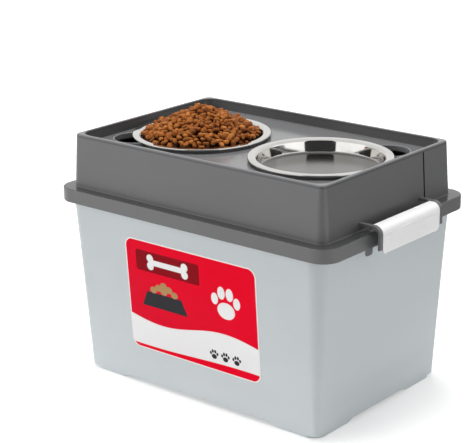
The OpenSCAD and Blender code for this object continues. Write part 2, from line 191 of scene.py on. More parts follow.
class NodeSheet:
    """Builds one material's nodes."""

    def __init__(self, name: str) -> None:
        """Starts an empty material.

        Args:
            name: the material's name.
        """
        self.material = bpy.data.materials.new(name)
        self.material.use_nodes = True
        self.material.node_tree.nodes.clear()

    def node(
        self, kind: str, settings: Mapping[str, Any] | None = None, inputs: Mapping[Any, Any] | None = None
    ) -> bpy.types.Node:
        """Adds a node.

        Args:
            kind: the node's type.
            settings: its settings, set first; "stops" are a ramp's positions and colours.
            inputs: values or links by socket name or number.

        Returns:
            The new node.
        """
        tree = self.material.node_tree
        made = tree.nodes.new(kind)
        for name, setting in (settings or {}).items():
            if name == "stops":
                self._stops(made.color_ramp, setting)
            else:
                setattr(made, name, setting)
        for name, value in (inputs or {}).items():
            if isinstance(value, Value):
                tree.links.new(value.socket, made.inputs[name])
            elif isinstance(value, bpy.types.NodeSocket):
                tree.links.new(value, made.inputs[name])
            elif isinstance(value, tuple) and len(value) == 3 and made.inputs[name].type == "RGBA":
                made.inputs[name].default_value = (*value, 1.0)
            else:
                made.inputs[name].default_value = value
        return made

    @staticmethod
    def _stops(ramp: bpy.types.ColorRamp, stops: Sequence[tuple[float, Colour]]) -> None:
        """Sets a ramp's stops.

        Args:
            ramp: the ramp.
            stops: position and colour of each stop, in order.
        """
        while len(ramp.elements) < len(stops):
            ramp.elements.new(1.0)
        for element, (position, colour) in zip(ramp.elements, stops):
            element.position = position
            element.color = (*colour, 1.0)

    def place(self) -> bpy.types.NodeSocket:
        """Place on the piece, in metres."""
        return self.node("ShaderNodeTexCoord").outputs["Object"]

    def axes(self) -> tuple[Value, Value, Value]:
        """The place on the piece as three values, in metres."""
        parts = self.node("ShaderNodeSeparateXYZ", None, {0: self.place()}).outputs
        return Value(self, parts[0]), Value(self, parts[1]), Value(self, parts[2])

    def grain(self, per_metre: float, detail: float = 2.0, stretch: Point = (1.0, 1.0, 1.0)) -> Value:
        """Noise over the piece.

        Args:
            per_metre: lumps per metre.
            detail: octaves of finer noise.
            stretch: scale along each axis.

        Returns:
            The noise, about 0.5 in the middle.
        """
        spot = self.node(
            "ShaderNodeMapping", {"vector_type": "POINT"}, {"Vector": self.place(), "Scale": stretch}
        ).outputs[0]
        made = self.node(
            "ShaderNodeTexNoise", None, {"Vector": spot, "Scale": per_metre, "Detail": detail}
        )
        return Value(self, made.outputs[0])

    def blend(self, factor: "Value | float", low: Any, high: Any) -> bpy.types.NodeSocket:
        """Mixes two colours.

        Args:
            factor: how much of the second colour.
            low: the first colour or its socket.
            high: the second colour or its socket.

        Returns:
            The mixed colour.
        """
        made = self.node(
            "ShaderNodeMix", {"data_type": "RGBA"}, {0: factor, 6: low, 7: high}
        )
        return made.outputs[2]

    def relief(self, height: Value, depth: float, after: bpy.types.NodeSocket | None = None) -> bpy.types.NodeSocket:
        """Turns a height into a normal.

        Args:
            height: the height, from 0 to 1.
            depth: what a height of 1 stands for, in metres.
            after: a normal that this one is added to.

        Returns:
            The normal.
        """
        inputs: dict[str, Any] = {"Height": height, "Strength": 1.0, "Distance": depth}
        if after is not None:
            inputs["Normal"] = after
        return self.node("ShaderNodeBump", None, inputs).outputs[0]

    def surface(self, inputs: Mapping[str, Any]) -> bpy.types.Material:
        """Ends the sheet with a Principled surface.

        Args:
            inputs: values or links by socket name.

        Returns:
            The finished material.
        """
        shader = self.node("ShaderNodeBsdfPrincipled", None, inputs)
        self.node("ShaderNodeOutputMaterial", None, {"Surface": shader.outputs[0]})
        return self.material


# Finishes


def shade(colour: Colour, factor: float) -> Colour:
    """A colour made lighter or darker.

    Args:
        colour: the colour.
        factor: what each channel is multiplied by.

    Returns:
        The new colour.
    """
    return (colour[0] * factor, colour[1] * factor, colour[2] * factor)


@dataclass(frozen=True)
class PaintedLightPatch:
    """Box, in metres, in which a moulding's colour is painted darker or lighter, as painted shade or painted light, or
    the moulding is more polished.
    """

    z: Flat
    x: Flat | None = None
    y: Flat | None = None
    soft: float = 0.001
    factor: float = 1.0
    polish: float = 0.0

    def mask(self, place: Sequence[Value]) -> Value | float:
        """Tells where the patch lies.

        Args:
            place: the place on the piece along each axis.

        Returns:
            1 within the patch and 0 outside it.
        """
        made: Value | float = 1.0
        for at, span in zip(place, (self.x, self.y, self.z)):
            if span:
                made = at.ramp(span[0] - self.soft, span[0]) * at.ramp(span[1] + self.soft, span[1]) * made
        return made


@dataclass(frozen=True)
class MouldedPlastic:
    """Injection-moulded plastic: a fine spark-eroded grain, slow colour drift, light scuffs, and boxes of painted shade
    or painted light.
    """

    name: str
    colour: Colour
    roughness: float = 0.42
    grain_per_metre: float = 1400.0
    grain_depth: float = 0.00005
    drift: float = 0.05
    specular: float = 0.5
    scuffs: float = 0.5
    painted_light_patches: tuple[PaintedLightPatch, ...] = ()

    def material(self) -> bpy.types.Material:
        """Builds the finish."""
        sheet = NodeSheet(self.name)
        broad = sheet.grain(5.0, 2.0)
        fine = sheet.grain(self.grain_per_metre, 3.0)
        scuff = sheet.grain(70.0, 5.0, (1.0, 1.0, 0.18)).ramp(0.60, 0.74)
        colour = sheet.blend(
            broad.ramp(0.3, 0.7), shade(self.colour, 1.0 - self.drift), shade(self.colour, 1.0 + self.drift)
        )
        colour = sheet.blend(scuff * 0.10 * self.scuffs, colour, shade(self.colour, 1.35))
        rough = self.roughness + (broad - 0.5) * 0.10 + scuff * 0.06 * self.scuffs + (fine - 0.5) * 0.05
        place = sheet.axes()
        # Painted shade and painted light: each patch multiplies the colour where shade or light falls, and may lower
        # the roughness.
        for patch in self.painted_light_patches:
            mask = patch.mask(place)
            colour = sheet.blend(mask, colour, shade(self.colour, patch.factor))
            rough = rough - mask * patch.polish
        wave = sheet.relief(sheet.grain(9.0, 1.0), 0.00035)
        return sheet.surface(
            {
                "Base Color": colour,
                "Roughness": rough,
                "Specular IOR Level": self.specular,
                "Normal": sheet.relief(fine, self.grain_depth, wave),
            }
        )


@dataclass(frozen=True)
class PolishedSteel:
    """Pressed and polished stainless steel with faint turning marks round the bowl, and painted shade on the bowl's
    floor.
    """

    name: str = "polished_steel"
    colour: Colour = (0.630, 0.620, 0.596)
    roughness: float = 0.05
    floor_z: float = 0.4043

    def material(self) -> bpy.types.Material:
        """Builds the finish."""
        sheet = NodeSheet(self.name)
        x, y, z = sheet.axes()
        reach = (x * x + y * y).root()
        rings = self._rings(sheet, reach)
        smear = sheet.grain(26.0, 4.0)
        # Painted shade: the bowl's floor is painted at 0.30 of the steel's colour, and is also rougher.
        floor = z.ramp(self.floor_z + 0.004, self.floor_z + 0.0005)
        rough = self.roughness + rings * 0.03 + smear.ramp(0.45, 0.8) * 0.04 + floor * 0.13
        tone = sheet.blend(smear.ramp(0.35, 0.75), self.colour, shade(self.colour, 0.93))
        colour = sheet.blend(floor, tone, shade(self.colour, 0.30))
        return sheet.surface(
            {
                "Base Color": colour,
                "Metallic": 1.0,
                "Roughness": rough,
                "Normal": sheet.relief(rings, 0.000006),
            }
        )

    @staticmethod
    def _rings(sheet: NodeSheet, reach: Value) -> Value:
        """Turning marks.

        Args:
            sheet: the node sheet.
            reach: distance from the bowl's axis.

        Returns:
            A value from 0 to 1 that changes with the distance alone.
        """
        spot = sheet.node("ShaderNodeCombineXYZ", None, {0: reach * 900.0}).outputs[0]
        made = sheet.node("ShaderNodeTexNoise", None, {"Vector": spot, "Scale": 1.0, "Detail": 3.0})
        return Value(sheet, made.outputs[0])


@dataclass(frozen=True)
class BakedFood:
    """Dry baked food: brown-orange, matte and pitted, each piece with its own tone, and painted shade in its pits and
    in the gaps between pieces.
    """

    name: str = "baked_food"
    dark: Colour = (0.130, 0.034, 0.005)
    mid: Colour = (0.290, 0.088, 0.014)
    light: Colour = (0.530, 0.200, 0.042)
    gap_shade: Colour = (0.045, 0.011, 0.002)

    def material(self) -> bpy.types.Material:
        """Builds the finish."""
        sheet = NodeSheet(self.name)
        # The depth attribute carries painted shade: 1 where a point lies buried among the pieces.
        tone, depth = (
            Value(sheet, sheet.node("ShaderNodeAttribute", {"attribute_name": name}).outputs["Fac"])
            for name in ("tone", "depth")
        )
        crust = sheet.grain(420.0, 4.0)
        pits = sheet.grain(1300.0, 2.0)
        mixed = (tone * 0.75 + crust * 0.45 - 0.1).least(1.0).most(0.0)
        ramp = sheet.node(
            "ShaderNodeValToRGB",
            {"stops": [(0.0, self.dark), (0.5, self.mid), (1.0, self.light)]},
            {0: mixed},
        )
        # Painted shade: darker in the pits of the relief.
        colour = sheet.blend(pits.ramp(0.40, 0.28) * 0.5, ramp.outputs[0], self.dark)
        # Painted shade: the colour goes to the gap shade where the depth attribute is high.
        colour = sheet.blend(depth, colour, self.gap_shade)
        rough = 0.62 + (crust - 0.5) * 0.3
        lumps = sheet.relief(crust, 0.0009)
        return sheet.surface(
            {
                "Base Color": colour,
                "Roughness": rough,
                "Specular IOR Level": 0.25,
                "Normal": sheet.relief(pits, 0.00035, lumps),
            }
        )


@dataclass(frozen=True)
class FoamRubber:
    """Soft black seal with open pores."""

    name: str = "foam_rubber"
    colour: Colour = (0.03, 0.03, 0.03)

    def material(self) -> bpy.types.Material:
        """Builds the finish."""
        sheet = NodeSheet(self.name)
        pores = sheet.grain(900.0, 3.0)
        # Painted shade and painted light: darker in the pores of the relief and lighter on the skin between them.
        colour = sheet.blend(pores.ramp(0.35, 0.65), shade(self.colour, 0.5), shade(self.colour, 1.5))
        return sheet.surface(
            {
                "Base Color": colour,
                "Roughness": 0.8 + (pores - 0.5) * 0.2,
                "Normal": sheet.relief(pores, 0.0003),
            }
        )


@dataclass(frozen=True)
class PrintedFilm:
    """Printed gloss film: a red ground with generic pet motifs and a white keyline."""

    name: str = "printed_film"
    red: Colour = (0.84, 0.0005, 0.020)
    warm: Colour = (0.74, 0.004, 0.026)
    deep: Colour = (0.26, 0.004, 0.010)
    white: Colour = (0.86, 0.86, 0.86)
    ink: Colour = (0.035, 0.035, 0.04)
    tan: Colour = (0.45, 0.27, 0.12)
    half_l: float = 0.146
    half_h: float = 0.104
    corner: float = 0.017
    edge: float = 0.0004

    def material(self) -> bpy.types.Material:
        """Builds the finish."""
        sheet = NodeSheet(self.name)
        x, y, _ = sheet.axes()
        ground = sheet.blend(
            (x * 2.2 + y * 3.0 + 0.45 + (sheet.grain(12.0, 1.0) - 0.5) * 0.3).ramp(0.0, 1.0),
            self.warm,
            self.red,
        )
        colour = sheet.blend(self._panel(x, y, (-0.050, 0.066), (0.072, 0.019), 0.004), ground, self.deep)
        wave = (y + 0.040 - (x * 22.0).sine() * 0.010).ramp(self.edge, -self.edge)
        colour = sheet.blend(wave, colour, self.white)
        foot = (y + 0.092 - (x * 14.0).sine() * 0.004).ramp(self.edge, -self.edge)
        colour = sheet.blend(foot, colour, self.red)
        colour = sheet.blend(self._paw(x - 0.078, y - 0.026, 1.0), colour, self.white)
        colour = sheet.blend(self._bone(x + 0.050, y - 0.066, 0.040), colour, self.white)
        colour = sheet.blend(self._dish(x + 0.062, y + 0.004), colour, self.ink)
        colour = sheet.blend(self._heap(x + 0.062, y - 0.012), colour, self.tan)
        for at in (-0.105, -0.080, -0.055):
            colour = sheet.blend(self._paw(x - at - 0.15, y + 0.074, 0.30), colour, self.ink)
        inner = self._round_box(x, y, self.half_l - 0.0022, self.half_h - 0.0022, self.corner - 0.0022)
        colour = sheet.blend(inner.ramp(-self.edge, self.edge), colour, self.white)
        return sheet.surface(
            {
                "Base Color": colour,
                "Roughness": 0.30 + (sheet.grain(40.0, 3.0) - 0.5) * 0.10,
                "Specular IOR Level": 0.03,
                "Normal": sheet.relief(sheet.grain(30.0, 2.0), 0.0002),
            }
        )

    def _disc(self, x: Value, y: Value, rx: float, ry: float) -> Value:
        """Filled ellipse about the origin.

        Args:
            x: place along the label.
            y: place up the label.
            rx: half its width.
            ry: half its height.

        Returns:
            1 inside and 0 outside.
        """
        reach = ((x * x) / (rx * rx) + (y * y) / (ry * ry)).root()
        soft = self.edge / min(rx, ry)
        return reach.ramp(1.0 + soft, 1.0 - soft)

    @staticmethod
    def _round_box(x: Value, y: Value, half_l: float, half_h: float, r: float) -> Value:
        """Distance outside a rectangle with round corners.

        Args:
            x: place along the label.
            y: place up the label.
            half_l: half its length.
            half_h: half its height.
            r: its corner radius.

        Returns:
            The distance, below 0 inside.
        """
        dx = abs(x) - (half_l - r)
        dy = abs(y) - (half_h - r)
        ox = dx.most(0.0)
        oy = dy.most(0.0)
        return (ox * ox + oy * oy).root() + dx.most(dy).least(0.0) - r

    def _panel(self, x: Value, y: Value, middle: Flat, half: Flat, r: float) -> Value:
        """Filled panel with round corners.

        Args:
            x: place along the label.
            y: place up the label.
            middle: its centre.
            half: half its length and height.
            r: its corner radius.

        Returns:
            1 inside and 0 outside.
        """
        reach = self._round_box(x - middle[0], y - middle[1], half[0], half[1], r)
        return reach.ramp(self.edge, -self.edge)

    def _paw(self, x: Value, y: Value, size: float) -> Value:
        """Paw print.

        Args:
            x: place along the label from its centre.
            y: place up the label from its centre.
            size: 1 for the large one.

        Returns:
            1 inside and 0 outside.
        """
        mark = self._disc(x, y + 0.012 * size, 0.019 * size, 0.015 * size)
        for tx, ty, rx, ry in (
            (-0.024, 0.006, 0.0075, 0.0105),
            (-0.009, 0.019, 0.0080, 0.0115),
            (0.009, 0.019, 0.0080, 0.0115),
            (0.024, 0.006, 0.0075, 0.0105),
        ):
            mark = mark.most(self._disc(x - tx * size, y - ty * size, rx * size, ry * size))
        return mark

    def _bone(self, x: Value, y: Value, half: float) -> Value:
        """Biscuit in the form of a bone.

        Args:
            x: place along the label from its centre.
            y: place up the label from its centre.
            half: half its length.

        Returns:
            1 inside and 0 outside.
        """
        mark = self._round_box(x, y, half, half * 0.13, half * 0.03).ramp(self.edge, -self.edge)
        for sx in (-1.0, 1.0):
            for sy in (-1.0, 1.0):
                knob = self._disc(x - sx * half * 0.98, y - sy * half * 0.17, half * 0.19, half * 0.19)
                mark = mark.most(knob)
        return mark

    def _dish(self, x: Value, y: Value) -> Value:
        """Dish seen from the side.

        Args:
            x: place along the label from its centre.
            y: place up the label from its centre.

        Returns:
            1 inside and 0 outside.
        """
        lean = abs(x) + y * 0.45
        wall = lean.ramp(0.046 + self.edge, 0.046 - self.edge)
        return wall * abs(y).ramp(0.014 + self.edge, 0.014 - self.edge)

    def _heap(self, x: Value, y: Value) -> Value:
        """Food in the dish.

        Args:
            x: place along the label from its centre.
            y: place up the label from its centre.

        Returns:
            1 inside and 0 outside.
        """
        mark = None
        for tx, ty in ((-0.024, 0.003), (-0.012, 0.009), (0.0, 0.004), (0.012, 0.010), (0.024, 0.003), (0.0, 0.015)):
            lump = self._disc(x - tx, y - ty, 0.0078, 0.0062)
            mark = lump if mark is None else mark.most(lump)
        return mark


# Meshes


def turn(angle: float) -> Flat:
    """Cosine and sine of an angle in degrees."""
    return math.cos(math.radians(angle)), math.sin(math.radians(angle))


def arc(cx: float, cy: float, r: float, start: float, end: float, steps: int) -> list[Flat]:
    """Points on an arc.

    Args:
        cx: its centre's first coordinate.
        cy: its centre's second coordinate.
        r: its radius.
        start: first angle in degrees.
        end: last angle in degrees.
        steps: how many chords it has.

    Returns:
        The points, both ends among them.
    """
    made = []
    for i in range(steps + 1):
        c, s = turn(start + (end - start) * i / steps)
        made.append((cx + r * c, cy + r * s))
    return made


@dataclass(frozen=True)
class Outline:
    """Rectangle with round corners, centred on the origin, in millimetres."""

    half_x: float
    half_y: float
    corner: float
    corner_steps: int = 14

    def ring(self, inset: float, z: float) -> list[Point]:
        """Points of the outline moved inwards, at one height.

        Args:
            inset: how far inwards.
            z: the height.

        Returns:
            The points, anticlockwise.
        """
        r = max(self.corner - inset, 0.05)
        made: list[Point] = []
        for index, (sx, sy) in enumerate(((1, 1), (-1, 1), (-1, -1), (1, -1))):
            cx = sx * (self.half_x - inset - r)
            cy = sy * (self.half_y - inset - r)
            made += [(px, py, z) for px, py in arc(cx, cy, r, 90 * index, 90 * index + 90, self.corner_steps)]
        return made


class Draft:
    """Collects the points and faces of one mesh, in millimetres."""

    def __init__(self) -> None:
        """Starts an empty mesh."""
        self.points: list[Point] = []
        self.faces: list[tuple[int, ...]] = []

    def add(self, points: Sequence[Point]) -> list[int]:
        """Adds points.

        Args:
            points: the points.

        Returns:
            Their numbers.
        """
        first = len(self.points)
        self.points += list(points)
        return list(range(first, first + len(points)))

    def skin(self, rings: Sequence[Sequence[Point]], closed: bool = True, caps: bool = True) -> None:
        """Joins rings of points, each to the next.

        Args:
            rings: rings with as many points each.
            closed: whether each ring closes on itself.
            caps: whether the first and last ring are filled.
        """
        numbered = [self.add(ring) for ring in rings]
        count = len(numbered[0])
        for low, high in zip(numbered, numbered[1:]):
            for i in range(count if closed else count - 1):
                j = (i + 1) % count
                self.faces.append((low[i], low[j], high[j], high[i]))
        if caps:
            self.faces.append(tuple(reversed(numbered[0])))
            self.faces.append(tuple(numbered[-1]))

    def prism(self, outline: Sequence[Flat], low: float, high: float, place: Callable[[float, float, float], Point]) -> None:
        """Extrudes a flat outline.

        Args:
            outline: its points, anticlockwise.
            low: where the extrusion starts.
            high: where it ends.
            place: turns the outline's two coordinates and the extrusion's into a point.
        """
        self.skin([[place(a, b, low) for a, b in outline], [place(a, b, high) for a, b in outline]])

    def lathe(self, profile: Sequence[Flat], steps: int = 128) -> None:
        """Turns a profile round the Z axis.

        Args:
            profile: distance from the axis and height of each point; the ends lie on the axis.
            steps: how many parts a turn has.
        """
        first = self.add([(0.0, 0.0, profile[0][1])])[0]
        last = self.add([(0.0, 0.0, profile[-1][1])])[0]
        rings = []
        for r, z in profile[1:-1]:
            rings.append(self.add([(r * c, r * s, z) for c, s in (turn(360 * k / steps) for k in range(steps))]))
        for low, high in zip(rings, rings[1:]):
            for i in range(steps):
                j = (i + 1) % steps
                self.faces.append((low[i], low[j], high[j], high[i]))
        for i in range(steps):
            j = (i + 1) % steps
            self.faces.append((first, rings[0][j], rings[0][i]))
            self.faces.append((last, rings[-1][i], rings[-1][j]))

    def mesh(self, name: str) -> bpy.types.Mesh:
        """Makes the mesh, in metres, with its faces turned outwards.

        Args:
            name: the mesh's name.

        Returns:
            The mesh.
        """
        made = bpy.data.meshes.new(name)
        made.from_pydata([tuple(c * MM for c in p) for p in self.points], [], self.faces)
        work = bmesh.new()
        work.from_mesh(made)
        bmesh.ops.remove_doubles(work, verts=work.verts, dist=1e-7)
        bmesh.ops.recalc_face_normals(work, faces=work.faces)
        work.to_mesh(made)
        work.free()
        made.update()
        return made

    def thing(self, name: str) -> bpy.types.Object:
        """Makes an object of the mesh and links it to the scene.

        Args:
            name: the object's name.

        Returns:
            The object.
        """
        made = bpy.data.objects.new(name, self.mesh(name))
        bpy.context.scene.collection.objects.link(made)
        return made


class Bench:
    """Works on finished objects: cuts, rounds and shades them."""

    @staticmethod
    def settle(thing: bpy.types.Object) -> None:
        """Turns an object's modifiers into its mesh.

        Args:
            thing: the object.
        """
        graph = bpy.context.evaluated_depsgraph_get()
        made = bpy.data.meshes.new_from_object(thing.evaluated_get(graph))
        old = thing.data
        thing.modifiers.clear()
        thing.data = made
        bpy.data.meshes.remove(old)

    @classmethod
    def cut(cls, thing: bpy.types.Object, tools: Sequence[Draft]) -> None:
        """Cuts shapes out of an object.

        Args:
            thing: the object.
            tools: the shapes.
        """
        for tool in tools:
            cutter = tool.thing("cutter")
            step = thing.modifiers.new("cut", "BOOLEAN")
            step.operation = "DIFFERENCE"
            step.solver = "EXACT"
            step.object = cutter
            cls.settle(thing)
            bpy.data.objects.remove(cutter)

    @classmethod
    def finish(cls, thing: bpy.types.Object, width: float = 0.0, sharp: float = 40.0, segments: int = 2) -> None:
        """Rounds an object's sharp edges and shades it smoothly.

        Args:
            thing: the object.
            width: how far the rounding reaches, in millimetres; 0 leaves the edges.
            sharp: the least angle of an edge that is rounded, in degrees.
            segments: facets across a rounding.
        """
        for face in thing.data.polygons:
            face.use_smooth = True
        if width:
            step = thing.modifiers.new("round", "BEVEL")
            step.width = width * MM
            step.segments = segments
            step.limit_method = "ANGLE"
            step.angle_limit = math.radians(sharp)
            step.use_clamp_overlap = True
            step.miter_outer = "MITER_ARC"
        level = thing.modifiers.new("level", "WEIGHTED_NORMAL")
        level.mode = "FACE_AREA"
        level.weight = 100
        level.keep_sharp = True
        cls.settle(thing)

    @staticmethod
    def dress(thing: bpy.types.Object, material: bpy.types.Material, body: Body, slot: Slot) -> bpy.types.Object:
        """Gives an object its finish and its body.

        Args:
            thing: the object.
            material: its finish.
            body: what it rides on.
            slot: the record's material slot; not used.

        Returns:
            The object.
        """
        thing.data.materials.clear()
        thing.data.materials.append(material)
        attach(thing, body.value)
        LOG.info("%s rides on %s, %d faces", thing.name, body.value, len(thing.data.polygons))
        return thing


def box_draft(low: Point, high: Point) -> Draft:
    """Box between two corners.

    Args:
        low: its lowest corner.
        high: its highest corner.

    Returns:
        The box.
    """
    made = Draft()
    outline = [(low[0], low[1]), (high[0], low[1]), (high[0], high[1]), (low[0], high[1])]
    made.prism(outline, low[2], high[2], lambda a, b, c: (a, b, c))
    return made


def rod_draft(cx: float, cy: float, r: float, low: float, high: float, steps: int = 96) -> Draft:
    """Upright cylinder.

    Args:
        cx: its axis along X.
        cy: its axis along Y.
        r: its radius.
        low: its lower end.
        high: its upper end.
        steps: its facets.

    Returns:
        The cylinder.
    """
    made = Draft()
    made.prism(arc(cx, cy, r, 0, 360, steps)[:-1], low, high, lambda a, b, c: (a, b, c))
    return made


# Sub-assemblies


@dataclass
class StorageBin:
    """Pale bin: tapered walls, turned-out rim, latch catches and corner feet."""

    wall_top: Outline = Outline(279.52, 196.72, 30.0)
    rim: Outline = Outline(295.02, 200.12, 29.0)
    height: float = 338.0
    draft: float = 3.65
    wall: float = 2.5
    rim_t: float = 3.0
    floor_top: float = 9.0
    foot_h: float = 6.0
    foot_slope: float = 17.0
    foot_corner: float = 30.0
    gap_x: float = 180.34
    gap_y: float = 90.54
    lip_half: float = 166.1
    lip_low: float = 324.0
    catch_half: float = 60.0
    catch_x: float = 302.92
    catch_low: float = 314.0
    catch_top: float = 328.0
    finish: MouldedPlastic = MouldedPlastic(
        "pale_plastic",
        (0.525, 0.565, 0.580),
        roughness=0.46,
        grain_depth=0.00004,
        drift=0.018,
        # Painted light: the walls are painted lighter towards the floor, against the shade that falls there.
        painted_light_patches=(PaintedLightPatch((0.0, 0.02), soft=0.17, factor=1.14), PaintedLightPatch((0.0, 0.003), soft=0.06, factor=1.27)),
    )

    def lean(self, z: float) -> float:
        """How far the wall has moved in at a height."""
        return (self.height - z) * math.tan(math.radians(self.draft))

    def shell(self) -> bpy.types.Object:
        """Builds the bin's moulding.

        Returns:
            The object.
        """
        out, rim, top = self.wall_top, self.rim, self.height
        rings = []
        for x, z in arc(4.0, 4.0, 4.0, 270, 180, 5):
            rings.append(out.ring(self.lean(self.floor_top) + self.wall + x, self.floor_top + z))
        rings.append(out.ring(self.lean(120.0) + self.wall, 120.0))
        rings.append(out.ring(self.lean(240.0) + self.wall, 240.0))
        for x, z in arc(-1.0, top - 1.0, 1.0, 0, 90, 3):
            rings.append(out.ring(self.wall + x, z))
        for x, z in arc(1.2, top - 1.2, 1.2, 90, 180, 3):
            rings.append(rim.ring(x, z))
        for x, z in arc(1.0, top - self.rim_t + 1.0, 1.0, 180, 270, 3):
            rings.append(rim.ring(x, z))
        low = top - self.rim_t
        for x, z in arc(-1.5, low - 1.5, 1.5, 90, 0, 3):
            rings.append(out.ring(self.lean(low) + x, z))
        for z in (240.0, 120.0, 30.0):
            rings.append(out.ring(self.lean(z), z))
        for x, z in arc(2.0, 2.0, 2.0, 180, 270, 4):
            rings.append(out.ring(self.lean(2.0) + x, z))
        made = Draft()
        made.skin(rings)
        shell = made.thing("bin_shell")
        tools = [self._channel(self.gap_x, 260.0, False), self._channel(self.gap_y, 340.0, True)]
        tools += [self._foot_corner(sx, sy) for sx in (-1, 1) for sy in (-1, 1)]
        Bench.cut(shell, tools)
        Bench.finish(shell, 1.2, 42.0, 3)
        return shell

    def _channel(self, half: float, run: float, along_x: bool) -> Draft:
        """What is cut away between two feet.

        Args:
            half: half its width at the floor.
            run: half its length.
            along_x: whether it runs along X.

        Returns:
            The shape.
        """
        lean = self.foot_slope / self.foot_h
        outline = [
            (-half - lean, -1.0),
            (half + lean, -1.0),
            (half - self.foot_slope, self.foot_h),
            (self.foot_slope - half, self.foot_h),
        ]
        made = Draft()
        if along_x:
            made.prism(outline, -run, run, lambda a, b, c: (c, a, b))
        else:
            made.prism(outline, -run, run, lambda a, b, c: (a, c, b))
        return made

    def _foot_corner(self, sx: int, sy: int) -> Draft:
        """What is cut away outside a foot's rounder corner.

        Args:
            sx: the foot's side along X.
            sy: the foot's side along Y.

        Returns:
            The shape.
        """
        lean, r = self.lean(self.foot_h), self.foot_corner
        hx, hy = self.wall_top.half_x - lean, self.wall_top.half_y - lean
        outline = arc(hx - r, hy - r, r, 0, 90, 10) + [(hx - r, hy + 6.0), (hx + 6.0, hy + 6.0), (hx + 6.0, hy - r)]
        made = Draft()
        made.prism(outline, -1.0, self.foot_h, lambda a, b, c: (sx * a, sy * b, c))
        return made

    def catch(self, side: Side) -> bpy.types.Object:
        """Builds the turned-down rim and the catch at one end.

        Args:
            side: which end.

        Returns:
            The object.
        """
        s = side.value
        x1 = self.rim.half_x
        x0 = x1 - self.wall
        made = Draft()
        lip = [(x0, self.lip_low), (x1, self.lip_low), (x1, self.height - 1.2), (x0, self.height - 1.2)]
        hook = [
            (x0 + 0.4, self.catch_top - self.wall),
            (self.catch_x - self.wall, self.catch_top - self.wall),
            (self.catch_x - self.wall, self.catch_low),
            (self.catch_x, self.catch_low),
            (self.catch_x, self.catch_top),
            (x0 + 0.4, self.catch_top),
        ]
        made.prism(lip, -self.lip_half, self.lip_half, lambda a, b, c: (s * a, c, b))
        made.prism(hook, -self.catch_half, self.catch_half, lambda a, b, c: (s * a, c, b))
        thing = made.thing(f"{side.name.lower()}_catch")
        Bench.finish(thing, 0.5, 40.0, 2)
        return thing

    def build(self) -> None:
        """Builds, dresses and places the bin."""
        material = self.finish.material()
        shell = Bench.dress(self.shell(), material, Body.BIN, Slot.PALE)
        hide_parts("storage_bin")
        for side in Side:
            Bench.dress(self.catch(side), material, Body.BIN, Slot.PALE)


IN_X: Flat = (-0.2665, 0.2665)
IN_Y: Flat = (-0.1743, 0.1743)


